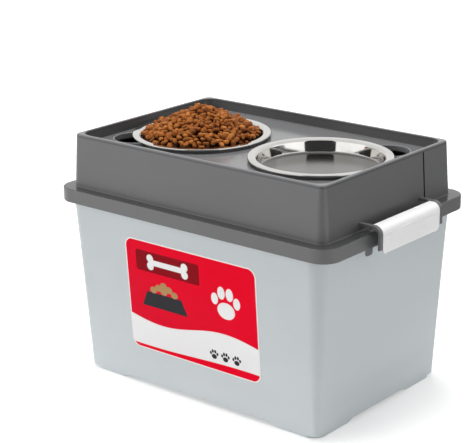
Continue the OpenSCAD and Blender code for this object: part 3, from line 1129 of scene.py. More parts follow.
@dataclass
class FeederLid:
    """Grey lid: flange with skirt, riser, sunk plate with its holes, and the latch arms."""

    flange: Outline = Outline(300.02, 205.12, 34.0)
    riser: Outline = Outline(278.22, 186.02, 17.0)
    recess: Outline = Outline(265.6, 173.4, 24.0)
    wall: float = 2.5
    skirt_z: float = 320.0
    flange_z: float = 344.7
    lip_z: float = 439.3
    plate_z: float = 419.0
    draft: float = 3.7
    lip_round: float = 3.0
    flange_round: float = 2.0
    bowl_x: float = 132.6
    hole_r: float = 114.5
    notch: Flat = (70.15, 98.34)
    notch_r: float = 36.9
    collar_z: float = 426.0
    collar_t: float = 2.5
    relief_r: float = 124.9
    relief_z: float = 423.3
    slot_y: float = 100.0
    slot_half: float = 1.7
    rib_low: float = 398.5
    rib_half: float = 178.0
    arm_in: float = 83.4
    arm_w: float = 8.0
    arm_t: float = 5.0
    arm_top: float = 359.5
    arm_low: float = 319.5
    bend: float = 14.7
    arm_x: float = 319.72
    pivot: Flat = (300.02, 354.5)
    boss_r: float = 5.0
    hole_pin_r: float = 1.65
    tongue_w: float = 18.0
    tongue_low: float = 309.0
    window_half: float = 64.0
    window_top: float = 329.5
    finish: MouldedPlastic = MouldedPlastic(
        "grey_plastic",
        (0.132, 0.133, 0.136),
        roughness=0.32,
        grain_depth=0.00003,
        drift=0.03,
        specular=0.4,
        painted_light_patches=(
            # Painted shadow on the flange's ledge at the riser's foot; the ledge is also more polished.
            PaintedLightPatch((0.3443, 0.3453), (-0.3005, 0.3005), None, 0.0005, 0.45, 0.17),
            # Painted sheen: the sunk plate is painted lighter, and is also more polished.
            PaintedLightPatch((0.4185, 0.4200), IN_X, IN_Y, 0.0005, 1.18, 0.17),
            # Painted shade on the recess's inner walls.
            PaintedLightPatch((0.4215, 0.4370), IN_X, IN_Y, 0.001, 0.75),
            # Painted shadow in a thin band just below the lip, all round.
            PaintedLightPatch((0.4345, 0.4365), factor=0.62),
            # Painted highlight along the top of the lip.
            PaintedLightPatch((0.4386, 0.4400), soft=0.0005, factor=1.12),
            # Painted shade inside the slot in the right end wall.
            PaintedLightPatch((0.3495, 0.4345), (0.266, 0.285), (0.0982, 0.1018), 0.0001, 0.10),
            # Painted shade inside the slot in the left end wall.
            PaintedLightPatch((0.3495, 0.4345), (-0.285, -0.266), (-0.1018, -0.0982), 0.0001, 0.10),
        ),
    )
    # Painted light: the collars are a lighter copy of the grey plastic, so that their sides under the bowls' rims and
    # round the notches look lit.
    collar_finish: MouldedPlastic = MouldedPlastic(
        "grey_plastic_collar", (0.205, 0.206, 0.210), roughness=0.28, grain_depth=0.00003, drift=0.03, specular=0.4
    )

    def lean(self, z: float) -> float:
        """How far the riser's wall has moved in at a height."""
        return (z - self.flange_z) * math.tan(math.radians(self.draft))

    def shell(self) -> bpy.types.Object:
        """Builds the lid's moulding.

        Returns:
            The object.
        """
        w, top, lip = self.wall, self.flange_z, self.lip_z
        under = self.plate_z - w
        rings = [
            self.riser.ring(w + self.lean(under) + 1.0, under),
            self.riser.ring(w + self.lean(under), under - 1.0),
            self.riser.ring(w, top),
            self.riser.ring(w, top - w + 0.6),
            self.riser.ring(w - 0.6, top - w),
            self.flange.ring(w + 1.0, top - w),
            self.flange.ring(w, top - w - 1.0),
        ]
        for x, z in arc(w / 2, self.skirt_z + w / 2, w / 2, 360, 180, 8):
            rings.append(self.flange.ring(x, z))
        for x, z in arc(self.flange_round, top - self.flange_round, self.flange_round, 180, 90, 5):
            rings.append(self.flange.ring(x, z))
        for x, z in arc(-2.0, top + 2.0, 2.0, 270, 360, 4):
            rings.append(self.riser.ring(x + self.lean(z), z))
        for z in (375.0, 405.0):
            rings.append(self.riser.ring(self.lean(z), z))
        wall_end = lip - self.lip_round
        for x, z in arc(self.lip_round, wall_end, self.lip_round, 180, 90, 6):
            rings.append(self.riser.ring(x + self.lean(wall_end), z))
        for x, z in arc(-0.9, lip - 0.9, 0.9, 90, 0, 3):
            rings.append(self.recess.ring(x, z))
        for x, z in arc(1.6, self.plate_z + 1.6, 1.6, 180, 270, 4):
            rings.append(self.recess.ring(x, z))
        made = Draft()
        made.skin(rings)
        shell = made.thing("lid_shell")
        tools = []
        for s in (-1, 1):
            low, high = under - 4, self.plate_z + 4
            nx, ny = s * (self.bowl_x + self.notch[0]), s * self.notch[1]
            tools.append(rod_draft(s * self.bowl_x, 0, self.hole_r + 1.0, low, high, 128))
            tools.append(rod_draft(nx, ny, self.notch_r + 1.0, low, high, 72))
            x = sorted((s * 268.85, s * 290.0))
            y = sorted((s * self.slot_y - self.slot_half, s * self.slot_y + self.slot_half))
            tools.append(box_draft((x[0], y[0], 349.7), (x[1], y[1], 434.3)))
            x = sorted((s * 296.0, s * 304.0))
            tools.append(box_draft((x[0], -self.window_half, 310.0), (x[1], self.window_half, self.window_top)))
        Bench.cut(shell, tools)
        Bench.finish(shell, 0.5, 42.0, 2)
        return shell

    def rib(self) -> bpy.types.Object:
        """Builds the rib between the bowls, under the plate.

        Returns:
            The object.
        """
        under = self.plate_z - self.wall
        thing = box_draft((-1.0, -self.rib_half, self.rib_low), (1.0, self.rib_half, under + 0.5)).thing("plate_rib")
        Bench.finish(thing, 0.3)
        return thing

    def keyhole(self, grow: float, z: float) -> list[Point]:
        """Outline of a bowl's hole with its finger notch, about the bowl's axis.

        Args:
            grow: how far outside the two holes.
            z: the height.

        Returns:
            The points, anticlockwise.
        """
        big, small = self.hole_r + grow, self.notch_r + grow
        out = math.hypot(*self.notch)
        at = math.degrees(math.atan2(self.notch[1], self.notch[0]))
        along = (out**2 + big**2 - small**2) / (2 * out)
        half = math.degrees(math.acos(along / big))
        mouth = math.degrees(math.acos((out - along) / small))
        flat = arc(0.0, 0.0, big, at + half, at + 360 - half, 120)
        flat += arc(*self.notch, small, at - 180 + mouth, at + 180 - mouth, 56)[1:-1]
        return [(x, y, z) for x, y in flat]

    def collar(self, side: Side) -> bpy.types.Object:
        """Builds the collar round a bowl's hole and finger notch.

        Args:
            side: which bowl's.

        Returns:
            The object.
        """
        t, top, soft = self.collar_t, self.collar_z, 0.7
        lining = 1.3
        under = self.plate_z - self.wall
        rings = [self.keyhole(t, self.plate_z - 1.0)]
        for x, z in arc(t - soft, top - soft, soft, 0, 90, 4) + arc(soft, top - soft, soft, 90, 180, 4):
            rings.append(self.keyhole(x, z))
        rings += [self.keyhole(0.0, under), self.keyhole(lining, under)]
        rings += [self.keyhole(lining, self.plate_z - 1.0), rings[0]]
        draft = Draft()
        draft.skin(rings, caps=False)
        thing = draft.thing(f"{side.name.lower()}_bowl_collar")
        room = Draft()
        r0, r1, z0, z1 = self.hole_r + t, self.relief_r, self.relief_z, top + 3.0
        edge = [(r0, z0), (r1, z0), (r1, z1), (r0, z1), (r0, z0)]
        room.skin([[(x, y, z) for x, y in arc(0.0, 0.0, r, 0, 360, 144)[:-1]] for r, z in edge], caps=False)
        Bench.cut(thing, [room])
        Bench.finish(thing, 0.2, 50.0, 2)
        if side is Side.LEFT:
            thing.data.transform(Matrix.Rotation(math.pi, 4, "Z"))
        thing.data.transform(Matrix.Translation((side.value * self.bowl_x * MM, 0.0, 0.0)))
        return thing

    def arm(self, side: Side, front: bool) -> bpy.types.Object:
        """Builds one latch arm with its pin hole.

        Args:
            side: which end of the feeder.
            front: whether it is the arm nearer the front.

        Returns:
            The object.
        """
        s = side.value
        bx, bz = self.arm_x - self.bend, self.arm_top - self.bend
        root = self.riser.half_x - self.lean(self.arm_top) - 1.0
        foot = self.arm_t / 2
        outline = [(root, self.arm_top - self.arm_t)]
        outline += [(self.pivot[0] - 5.2, self.arm_top - self.arm_t)]
        outline += arc(self.pivot[0], self.pivot[1], self.boss_r, 200, 330, 8)
        outline += arc(bx, bz, self.bend - self.arm_t, 50, 0, 5)
        outline += arc(self.arm_x - foot, self.arm_low + foot, foot, 180, 360, 8)
        outline += arc(bx, bz, self.bend, 0, 90, 12)
        outline += [(root, self.arm_top)]
        y0 = self.arm_in if not front else -self.arm_in - self.arm_w
        made = Draft()
        made.prism(outline, y0, y0 + self.arm_w, lambda a, b, c: (s * a, c, b))
        thing = made.thing(f"{side.name.lower()}_{'front' if front else 'back'}_arm")
        bore = Draft()
        circle = arc(self.pivot[0], self.pivot[1], self.hole_pin_r, 0, 360, 24)[:-1]
        bore.prism(circle, y0 - 1, y0 + self.arm_w + 1, lambda a, b, c: (s * a, c, b))
        Bench.cut(thing, [bore])
        Bench.finish(thing, 0.7, 40.0, 3)
        return thing

    def tongue(self, side: Side, front: bool) -> bpy.types.Object:
        """Builds one tongue below the skirt.

        Args:
            side: which end of the feeder.
            front: whether it is the tongue nearer the front.

        Returns:
            The object.
        """
        s = side.value
        r = self.tongue_w / 4
        y0, y1 = self.arm_in, self.arm_in + self.tongue_w
        outline = arc(y0 + r, self.tongue_low + r, r, 180, 270, 6) + arc(y1 - r, self.tongue_low + r, r, 270, 360, 6)
        outline += [(y1, self.skirt_z + 2.0), (y0, self.skirt_z + 2.0)]
        t = -1.0 if front else 1.0
        x1 = self.flange.half_x
        made = Draft()
        made.prism(outline, x1 - self.wall + 0.02, x1 - 0.02, lambda a, b, c: (s * c, t * a, b))
        thing = made.thing(f"{side.name.lower()}_{'front' if front else 'back'}_tongue")
        Bench.finish(thing, 0.6, 40.0, 2)
        return thing

    def build(self) -> None:
        """Builds, dresses and places the lid."""
        material = self.finish.material()
        collar_painted_light = self.collar_finish.material()
        shell = Bench.dress(self.shell(), material, Body.LID, Slot.GREY)
        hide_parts("feeder_lid")
        Bench.dress(self.rib(), material, Body.LID, Slot.GREY)
        for side in Side:
            Bench.dress(self.collar(side), collar_painted_light, Body.LID, Slot.GREY)
            for front in (True, False):
                Bench.dress(self.arm(side, front), material, Body.LID, Slot.GREY)
                Bench.dress(self.tongue(side, front), material, Body.LID, Slot.GREY)


@dataclass
class SteelBowl:
    """Pressed steel bowl with a flat rim that ends in a rolled edge."""

    side: Side
    body: Body
    node: str
    at_x: float = 132.6
    rim_z: float = 427.3
    rim_r: float = 124.3
    bead_r: float = 1.7
    mouth_r: float = 114.0
    bend: float = 6.0
    slope: float = 12.0
    floor_z: float = 404.3
    fillet: float = 4.0
    sheet: float = 1.0

    def wall_x(self, z: float) -> float:
        """Radius inside the sloping wall at a height."""
        lean = math.radians(self.slope)
        top = self.rim_z - self.bend * (1.0 - math.sin(lean))
        return self.mouth_r - self.bend * math.cos(lean) - (top - z) * math.tan(lean)

    def side_line(self, out: float, fine: int) -> list[Flat]:
        """Section of the round foot, the wall and the bend, moved outwards.

        Args:
            out: how far it is moved.
            fine: steps along each round stretch.

        Returns:
            The points, from the floor up.
        """
        foot_z = self.floor_z + self.fillet
        foot_x = self.wall_x(foot_z) - self.fillet / math.cos(math.radians(self.slope))
        made = arc(foot_x, foot_z, self.fillet + out, 270, 360 - self.slope, fine)
        return made + arc(self.mouth_r, self.rim_z - self.bend, self.bend - out, 180 - self.slope, 90, fine // 2)

    def profile(self) -> list[Flat]:
        """Section of the bowl, from the middle of its inside round to the middle of its underside."""
        t, top = self.sheet, self.rim_z
        bead_x, bead_z = self.rim_r - self.bead_r, top - self.bead_r
        floor = [(0.0, self.floor_z), (30.0, self.floor_z), (60.0, self.floor_z)]
        made = floor + self.side_line(0.0, 24)
        made += arc(bead_x, bead_z, self.bead_r, 90, -90, 12)
        made += arc(bead_x, bead_z, self.bead_r, -100, -200, 6)
        made += [(bead_x - 3.0, top - t)] + self.side_line(t, 20)[::-1]
        made += [(60.0, self.floor_z - t), (0.0, self.floor_z - t)]
        return made

    def build(self, material: bpy.types.Material) -> None:
        """Builds, dresses and places the bowl.

        Args:
            material: its finish.
        """
        draft = Draft()
        draft.lathe(self.profile(), 160)
        name = f"{self.side.name.lower()}_steel_bowl"
        bowl = draft.thing(name)
        Bench.finish(bowl)
        bowl.location.x = self.side.value * self.at_x * MM
        Bench.dress(bowl, material, self.body, Slot.STEEL)
        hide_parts(self.node)


@dataclass
class EndLatch:
    """White latch: a bent cover with a crease below its shoulder, raised ends, a barrel and pins."""

    side: Side
    body: Body
    node: str
    half_w: float = 83.0
    wall: float = 2.6
    pivot: Flat = (300.02, 354.5)
    barrel_r: float = 4.0
    pin_r: float = 1.6
    pin_half: float = 86.0
    face_x: float = 319.72
    top: float = 358.5
    shoulder: float = 13.7
    low: float = 311.0
    hook_x: float = 303.32
    corner: float = 12.0
    web_low: float = 353.5

    def path(self) -> list[tuple[Flat, Flat]]:
        """Points and outward directions along the cover's outside, from the barrel to the hook."""
        bx, bz = self.face_x - self.shoulder, self.top - self.shoulder
        made: list[tuple[Flat, Flat]] = [((self.pivot[0], self.top), (0.0, 1.0)), ((303.0, self.top), (0.0, 1.0))]
        for k in range(25):
            c, s = turn(90 - 90 * k / 24)
            made.append(((bx + self.shoulder * c, bz + self.shoulder * s), (c, s)))
        for z in (344.0, 343.2, 342.4, 341.6, 340.6, 339.2, 337.0, 330.0, 323.0, 320.0, 317.0, 315.0):
            made.append(((self.face_x, z), (1.0, 0.0)))
        for k in range(6):
            c, s = turn(-90 * k / 5)
            made.append(((self.face_x - 2.5 + 2.5 * c, self.low + 2.5 + 2.5 * s), (c, s)))
        made.append(((310.0, self.low), (0.0, -1.0)))
        made.append(((self.hook_x, self.low), (0.0, -1.0)))
        return made

    def reach(self, z: float) -> float:
        """How far the cover reaches to each side at a height, with its lower corners rounded."""
        below = self.low + self.corner - z
        if below <= 0:
            return self.half_w
        below = min(below, self.corner)
        return self.half_w - self.corner + math.sqrt(self.corner**2 - below**2)

    @staticmethod
    def dip(z: float, across: float) -> float:
        """How far the outside lies below the raised ends.

        Args:
            z: the height.
            across: distance from the nearer end.

        Returns:
            The depth in millimetres.
        """
        ends = 0.85 * min(max((across - 2.6) / 1.2, 0.0), 1.0)
        edge = 0.6 * max(1.0 - across / 0.9, 0.0) ** 2
        crease = 1.1 * math.exp(-(((z - 344.2) / 1.7) ** 2)) * min(max((across - 4.0) / 6.0, 0.0), 1.0)
        return ends + edge + crease

    def cover(self) -> Draft:
        """Builds the cover.

        Returns:
            The mesh in the making.
        """
        s = self.side.value
        path = self.path()
        across = [0.0, 0.35, 0.9, 2.6, 3.4, 4.2, 6.0, 9.0, 14.0, 22.0, 40.0, 62.0]
        stations = [(-1, a) for a in across] + [(0, 83.0)] + [(1, a) for a in reversed(across)]
        made = Draft()
        rings = []
        for sign, a in stations:
            outer, inner = [], []
            for (x, z), (nx, nz) in path:
                y = 0.0 if sign == 0 else sign * self.reach(z) * (1.0 - a / self.half_w)
                d = self.dip(z, a)
                outer.append((s * (x - nx * d), y, z - nz * d))
                inner.append((s * (x - nx * self.wall), y, z - nz * self.wall))
            rings.append(outer + list(reversed(inner)))
        made.skin(rings)
        return made

    def build(self, material: bpy.types.Material) -> None:
        """Builds, dresses and places the latch.

        Args:
            material: its finish.
        """
        s = self.side.value
        name = self.side.name.lower()
        cover = self.cover().thing(f"{name}_latch_cover")
        Bench.finish(cover, 0.0)
        Bench.dress(cover, material, self.body, Slot.WHITE)
        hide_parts(self.node)
        hinge = Draft()
        for r, half in ((self.barrel_r, self.half_w - 0.2), (self.pin_r, self.pin_half)):
            hinge.prism(
                arc(self.pivot[0], self.pivot[1], r, 0, 360, 32)[:-1], -half, half, lambda a, b, c: (s * a, c, b)
            )
        barrel = hinge.thing(f"{name}_latch_barrel")
        Bench.finish(barrel, 0.4, 60.0, 2)
        Bench.dress(barrel, material, self.body, Slot.WHITE)
        bx, bz = self.face_x - self.shoulder, self.top - self.shoulder
        web = Draft()
        inner = self.shoulder - 1.3
        low = math.degrees(math.asin((self.web_low - bz) / inner))
        outline = [(self.pivot[0], self.web_low)] + arc(bx, bz, inner, low, 90, 8)
        outline += [(self.pivot[0], self.top - 1.3)]
        for t in (-1, 1):
            y = sorted((t * (self.half_w - self.wall), t * (self.half_w - 0.05)))
            web.prism(outline, y[0], y[1], lambda a, b, c: (s * a, c, b))
        webs = web.thing(f"{name}_latch_webs")
        Bench.finish(webs, 0.3, 40.0, 2)
        Bench.dress(webs, material, self.body, Slot.WHITE)


@dataclass
class FrontLabel:
    """Printed film on the sloping front wall."""

    half_l: float = 146.0
    half_h: float = 104.0
    thick: float = 0.4
    glue: float = 0.02
    corner: float = 17.0
    top_z: float = 280.0
    wall_y: float = 193.02
    slope: float = 3.65
    finish: PrintedFilm = PrintedFilm()

    def build(self) -> None:
        """Builds, dresses and places the label."""
        outline = Outline(self.half_l, self.half_h, self.corner, 12)
        draft = Draft()
        draft.skin([outline.ring(0.0, self.glue), outline.ring(0.0, self.thick - 0.12), outline.ring(0.14, self.thick)])
        label = draft.thing("printed_label")
        Bench.finish(label)
        tilt = Matrix.Rotation(math.radians(90 + self.slope), 4, "X")
        shift = Matrix.Translation((0.0, -self.half_h * MM, 0.0))
        label.matrix_world = Matrix.Translation((0.0, -self.wall_y * MM, self.top_z * MM)) @ tilt @ shift
        Bench.dress(label, self.finish.material(), Body.BIN, Slot.LABEL)
        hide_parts("front_label")


@dataclass
class FoodHeap:
    """Dry food piled in the left bowl, piece by piece over a core painted in the dark gap shade."""

    at_x: float = -132.6
    reach: float = 107.8
    base_z: float = 404.6
    edge_z: float = 422.3
    peak_z: float = 471.3
    belly: float = 1.1
    blunt: float = 0.85
    lump_step: float = 42.0
    lump_r: float = 34.0
    lump_h: float = 4.0
    seed: int = 7
    finish: BakedFood = BakedFood()
    tones: list[float] = field(default_factory=list)
    buried_shades: list[float] = field(default_factory=list)
    bulges: list[Vector] = field(default_factory=list)

    def slope(self, r: float) -> float:
        """Height of the heap without its lumps at a distance from the bowl's axis."""
        share = min(r / self.reach, 1.0)
        return self.edge_z + (self.peak_z - self.edge_z) * (1.0 - share**self.belly) ** self.blunt

    def lumps(self) -> list[Vector]:
        """Centres of the round lumps that the heap bulges out in."""
        made = []
        for ring in range(3):
            count = max(1, 6 * ring)
            out = self.lump_step * ring
            tilt = math.atan((self.peak_z - self.edge_z) / self.reach) if ring else 0.0
            sunk = self.lump_r - self.lump_h
            r = out - sunk * math.sin(tilt)
            for index in range(count):
                c, s = turn(360 * (index + ring / 4) / count)
                made.append(Vector((r * c, r * s, self.slope(out) - sunk * math.cos(tilt))))
        return made

    def height(self, x: float, y: float) -> float:
        """Height of the heap's surface at a place from the bowl's axis."""
        smooth = self.slope(math.hypot(x, y))
        bulge = smooth
        for middle in self.bulges:
            rest = self.lump_r**2 - (x - middle.x) ** 2 - (y - middle.y) ** 2
            if rest > 0:
                bulge = max(bulge, middle.z + math.sqrt(rest))
        return smooth + 0.8 * (bulge - smooth)

    def lump(self, draft: Draft, rng: random.Random, middle: Vector, fine: bool) -> None:
        """Adds one piece of food.

        Args:
            draft: the mesh in the making.
            rng: the source of chance.
            middle: where the piece lies.
            fine: whether it gets more facets.
        """
        around, up = (14, 8) if fine else (9, 5)
        long = rng.uniform(5.8, 8.2)
        wide = long * rng.uniform(0.50, 0.76)
        thick = rng.uniform(3.3, 4.6)
        lobes = rng.choice((0, 2, 2, 3, 3, 4))
        depth = rng.uniform(0.06, 0.16) if lobes else 0.0
        dimple = rng.choice((0.0, 0.0, 0.25, 0.45))
        spin = Matrix.Rotation(rng.uniform(0, math.tau), 3, "Z")
        axis = Vector((rng.uniform(-1, 1), rng.uniform(-1, 1), 0.2)).normalized()
        spin = Matrix.Rotation(rng.gauss(0, 1.0), 3, axis) @ spin
        phase = rng.uniform(0, math.tau)
        tone = min(max(rng.gauss(0.5, 0.24), 0.0), 1.0)

        def spot(lat: float, lon: float) -> Point:
            """Point of the piece's skin."""
            c, s = math.cos(lat), math.sin(lat)
            round_c = math.copysign(abs(c) ** 0.62, c)
            r = 1.0 + depth * math.cos(lobes * lon + phase)
            z = math.copysign(abs(s) ** 0.8, s) * (1.0 - dimple * abs(s) ** 6)
            p = Vector((long * r * round_c * math.cos(lon), wide * r * round_c * math.sin(lon), thick * z))
            p *= 1.0 + 0.16 * noise.noise(p * 0.22 + middle)
            return tuple(spin @ p + middle)

        first = len(draft.points)
        base = draft.add([spot(-math.pi / 2, 0.0), spot(math.pi / 2, 0.0)])
        rings = []
        for i in range(1, up):
            lat = -math.pi / 2 + math.pi * i / up
            rings.append(draft.add([spot(lat, math.tau * k / around) for k in range(around)]))
        for low, high in zip(rings, rings[1:]):
            for i in range(around):
                j = (i + 1) % around
                draft.faces.append((low[i], low[j], high[j], high[i]))
        for i in range(around):
            j = (i + 1) % around
            draft.faces.append((base[0], rings[0][j], rings[0][i]))
            draft.faces.append((base[1], rings[-1][i], rings[-1][j]))
        self.tones += [tone] * (len(draft.points) - first)
        # Painted shade: points below the heap's surface are painted darker, down to the gap shade; the coarse pieces
        # underneath get it in full.
        for x, y, z in draft.points[first:]:
            under = self.height(x, y) + 1.2 - z
            self.buried_shades.append(min(max(under / 6.0, 0.0), 1.0) if fine else 1.0)

    def spots(
        self, count: int, reach: float, sink: float, spread: float, rng: random.Random, shift: float
    ) -> list[Vector]:
        """Places pieces over the heap in a loose spiral.

        Args:
            count: how many.
            reach: how far from the axis the last lies.
            sink: how far below the surface they lie.
            spread: how unevenly they lie.
            rng: the source of chance.
            shift: turn of the spiral, in parts of a step.

        Returns:
            The places.
        """
        golden = math.pi * (3.0 - math.sqrt(5.0))
        made = []
        for k in range(count):
            r = reach * math.sqrt((k + 0.5) / count)
            angle = golden * (k + shift)
            x = r * math.cos(angle) + rng.uniform(-1.9, 1.9)
            y = r * math.sin(angle) + rng.uniform(-1.9, 1.9)
            over = math.hypot(x, y) / reach
            if over > 1.0:
                x, y = x / over, y / over
            made.append(Vector((x, y, self.height(x, y) - sink + rng.gauss(0.0, spread))))
        return made

    def core(self, draft: Draft) -> None:
        """Adds the core that closes the gaps between the pieces, painted in the dark gap shade.

        Args:
            draft: the mesh in the making.
        """
        first = len(draft.points)
        profile = [(0.0, self.slope(0.0) - 10.0)]
        profile += [(r, self.slope(r) - 10.0) for r in (12, 24, 36, 48, 60, 72, 84, 96, 105)]
        profile += [(105.0, self.edge_z - 10.0)] + arc(101.0, self.base_z + 3.7, 3.7, -12, -90, 4)
        profile += [(0.0, self.base_z)]
        draft.lathe(profile, 64)
        self.tones += [0.0] * (len(draft.points) - first)
        # Painted shade: the whole core takes the gap shade.
        self.buried_shades += [1.0] * (len(draft.points) - first)

    def build(self) -> None:
        """Builds, dresses and places the heap."""
        rng = random.Random(self.seed)
        self.bulges = self.lumps()
        draft = Draft()
        self.core(draft)
        for middle in self.spots(400, self.reach - 8.0, 9.0, 0.8, rng, 0.5):
            self.lump(draft, rng, middle, False)
        for middle in self.spots(440, self.reach - 6.5, 2.2, 1.7, rng, 0.0):
            self.lump(draft, rng, middle, True)
        mesh = bpy.data.meshes.new("food_heap")
        mesh.from_pydata([tuple(c * MM for c in p) for p in draft.points], [], draft.faces)
        for name, values in (("tone", self.tones), ("depth", self.buried_shades)):
            mesh.attributes.new(name, "FLOAT", "POINT").data.foreach_set("value", values)
        for face in mesh.polygons:
            face.use_smooth = True
        mesh.update()
        heap = bpy.data.objects.new("food_heap", mesh)
        bpy.context.scene.collection.objects.link(heap)
        heap.location.x = self.at_x * MM
        Bench.dress(heap, self.finish.material(), Body.LEFT_BOWL, Slot.FOOD)
        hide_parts("kibble_heap")


# Stage


@dataclass
class Studio:
    """Camera, soft light and pale floor."""

    focal_px: float = 1524.87
    yaw: float = 39.1
    pitch: float = 19.4
    roll: float = 0.465
    distance: float = 2.7215
    aim_z: float = 0.2
    shift_px: Flat = (27.977, 45.251)
    frame_px: Flat = (465.0, 443.0)
    ambient: float = 0.40

    @staticmethod
    def seen(tree: bpy.types.NodeTree) -> bpy.types.NodeSocket:
        """Adds nodes that tell the rays that show the backdrop from those that carry light."""
        path = tree.nodes.new("ShaderNodeLightPath")
        found = path.outputs["Is Camera Ray"]
        for name in ("Is Glossy Ray", "Is Transmission Ray"):
            join = tree.nodes.new("ShaderNodeMath")
            join.operation = "MAXIMUM"
            tree.links.new(found, join.inputs[0])
            tree.links.new(path.outputs[name], join.inputs[1])
            found = join.outputs[0]
        return found

    def camera(self) -> None:
        """Places the camera as it stood for the photograph."""
        data = bpy.data.cameras.new("camera")
        data.sensor_width = 36.0
        data.sensor_fit = "HORIZONTAL"
        data.lens = 36.0 * self.focal_px / self.frame_px[0]
        data.shift_x = -self.shift_px[0] / self.frame_px[0]
        data.shift_y = self.shift_px[1] / self.frame_px[0]
        data.clip_start, data.clip_end = 0.05, 60.0
        cy, sy = turn(self.yaw)
        cp, sp = turn(self.pitch)
        back = Vector((sy * cp, -cy * cp, sp))
        right = Vector((cy, sy, 0.0))
        up = back.cross(right)
        c, s = turn(self.roll)
        axis_x, axis_y = right * c - up * s, right * s + up * c
        camera = bpy.data.objects.new("camera", data)
        bpy.context.scene.collection.objects.link(camera)
        place = Matrix.Identity(4)
        for row in range(3):
            place[row][0], place[row][1], place[row][2] = axis_x[row], axis_y[row], back[row]
            place[row][3] = (back * self.distance + Vector((0.0, 0.0, self.aim_z)))[row]
        camera.matrix_world = place
        bpy.context.scene.camera = camera

    def world(self) -> None:
        """Sets an even light from all round, and white behind the feeder."""
        world = bpy.data.worlds.new("studio")
        bpy.context.scene.world = world
        world.use_nodes = True
        tree = world.node_tree
        tree.nodes.clear()
        mix = tree.nodes.new("ShaderNodeMixShader")
        light = tree.nodes.new("ShaderNodeBackground")
        light.inputs[0].default_value = (1.0, 1.0, 1.0, 1.0)
        light.inputs[1].default_value = self.ambient
        white = tree.nodes.new("ShaderNodeBackground")
        white.inputs[0].default_value = (1.0, 1.0, 1.0, 1.0)
        white.inputs[1].default_value = 1.0
        tree.links.new(self.seen(tree), mix.inputs[0])
        tree.links.new(light.outputs[0], mix.inputs[1])
        tree.links.new(white.outputs[0], mix.inputs[2])
        out = tree.nodes.new("ShaderNodeOutputWorld")
        tree.links.new(mix.outputs[0], out.inputs[0])

    def floor(self) -> None:
        """Lays the pale floor, which glows for camera and glossy rays and glows more further out."""
        mesh = bpy.data.meshes.new("floor")
        half = 14.0
        mesh.from_pydata([(-half, -half, 0), (half, -half, 0), (half, half, 0), (-half, half, 0)], [], [(0, 1, 2, 3)])
        floor = bpy.data.objects.new("floor", mesh)
        bpy.context.scene.collection.objects.link(floor)
        sheet = NodeSheet("floor")
        seen = Value(sheet, self.seen(sheet.material.node_tree))
        tone = sheet.grain(3.0, 2.0)
        x, y, _ = sheet.axes()
        # Painted light: the glow rises from 0.35 near the feeder to 0.75 far out, where the lamps light the floor less.
        far = (x * x + y * y).root().ramp(0.5, 4.5)
        glow = sheet.blend(far, (0.35, 0.35, 0.35), (0.75, 0.75, 0.75))
        mesh.materials.append(
            sheet.surface(
                {
                    "Base Color": sheet.blend(tone, (0.86, 0.86, 0.86), (0.88, 0.88, 0.88)),
                    "Roughness": 0.9,
                    "Specular IOR Level": 0.0,
                    "Emission Color": sheet.blend(seen, (0.0, 0.0, 0.0), glow),
                    "Emission Strength": 1.0,
                }
            )
        )

    def lamp(self, name: str, at: Point, to: Point, size: Flat, power: float) -> bpy.types.Object:
        """Adds a soft rectangular lamp.

        Args:
            name: its name.
            at: where it stands, in metres.
            to: what it points at.
            size: its width and height.
            power: its power in watts.

        Returns:
            The lamp.
        """
        data = bpy.data.lights.new(name, "AREA")
        data.shape = "RECTANGLE"
        data.size, data.size_y = size
        data.energy = power
        lamp = bpy.data.objects.new(name, data)
        bpy.context.scene.collection.objects.link(lamp)
        lamp.location = at
        lamp.rotation_mode = "QUATERNION"
        lamp.rotation_quaternion = (Vector(to) - Vector(at)).to_track_quat("-Z", "Y")
        return lamp

    def card(
        self, name: str, turned: float, wide: float, low: float, high: float, glow: float, far: float = 4.0
    ) -> None:
        """Stands a curved card round the feeder that only shiny surfaces show.

        Args:
            name: its name.
            turned: its direction from the feeder, in degrees from the camera's.
            wide: the angle that it covers, in degrees.
            low: the angle of its lower edge above the floor.
            high: the angle of its upper edge above the floor.
            glow: how bright it is; 0 is black.
            far: how far from the feeder it stands, in metres.
        """
        steps = 8
        points, faces = [], []
        for k in range(steps + 1):
            c, s = turn(self.yaw - 90.0 + turned + wide * (k / steps - 0.5))
            for edge in (low, high):
                points.append((far * c, far * s, far * math.tan(math.radians(edge))))
        for k in range(steps):
            faces.append((2 * k, 2 * k + 2, 2 * k + 3, 2 * k + 1))
        mesh = bpy.data.meshes.new(name)
        mesh.from_pydata(points, [], faces)
        card = bpy.data.objects.new(name, mesh)
        bpy.context.scene.collection.objects.link(card)
        sheet = NodeSheet(name)
        cloth = sheet.grain(20.0, 2.0)
        mesh.materials.append(
            sheet.surface(
                {
                    "Base Color": sheet.blend(cloth, (0.012, 0.012, 0.012), (0.018, 0.018, 0.018)),
                    "Roughness": 1.0,
                    "Specular IOR Level": 0.0,
                    "Emission Color": sheet.blend(cloth, (0.97, 0.97, 0.97), (1.0, 1.0, 1.0)),
                    "Emission Strength": glow,
                }
            )
        )
        card.visible_camera = False
        card.visible_diffuse = False
        card.visible_shadow = False

    def build(self) -> None:
        """Sets up the whole stage."""
        bpy.context.scene.view_settings.view_transform = "Standard"
        self.camera()
        self.world()
        self.floor()
        self.card("dark_card", 0.0, 57.0, -5.0, 60.0, 0.035)
        self.card("left_card", -61.0, 64.0, -5.0, 35.0, 1.5)
        self.card("right_card", 62.0, 66.0, -5.0, 35.0, 1.6)
        self.card("right_flag", 102.0, 70.0, 0.0, 27.0, 0.25, 1.0)
        self.lamp("key", (-4.2, -4.9, 2.3), (0.0, 0.0, 0.2), (3.2, 3.2), 133.0).visible_glossy = False
        self.lamp("side", (5.2, 3.3, 1.3), (0.0, 0.0, 0.1), (2.7, 2.7), 44.0).visible_glossy = False
        self.lamp("top", (-0.35, 0.15, 3.2), (0.0, 0.0, 0.3), (2.2, 2.2), 100.0).visible_glossy = False


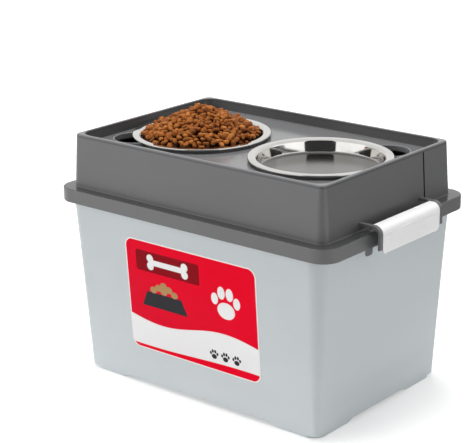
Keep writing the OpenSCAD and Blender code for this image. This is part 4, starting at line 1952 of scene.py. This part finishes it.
def main() -> None:
    """Builds the feeder and its stage."""
    logging.basicConfig(level=logging.INFO, format="%(name)s: %(message)s")
    Studio().build()
    StorageBin().build()
    FeederLid().build()
    steel = PolishedSteel().material()
    SteelBowl(Side.LEFT, Body.LEFT_BOWL, "left_bowl").build(steel)
    SteelBowl(Side.RIGHT, Body.RIGHT_BOWL, "right_bowl").build(steel)
    white = MouldedPlastic(
        "white_plastic", (0.92, 0.92, 0.92), roughness=0.30, grain_per_metre=900.0, grain_depth=0.00002, drift=0.012
    ).material()
    EndLatch(Side.LEFT, Body.LEFT_LATCH, "left_latch").build(white)
    EndLatch(Side.RIGHT, Body.RIGHT_LATCH, "right_latch").build(white)
    FrontLabel().build()
    FoodHeap().build()
    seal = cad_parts["lid_seal"]
    seal.data.materials.clear()
    seal.data.materials.append(FoamRubber().material())
    LOG.info("lid_seal keeps its solid")


if __name__ == "__main__":
    main()
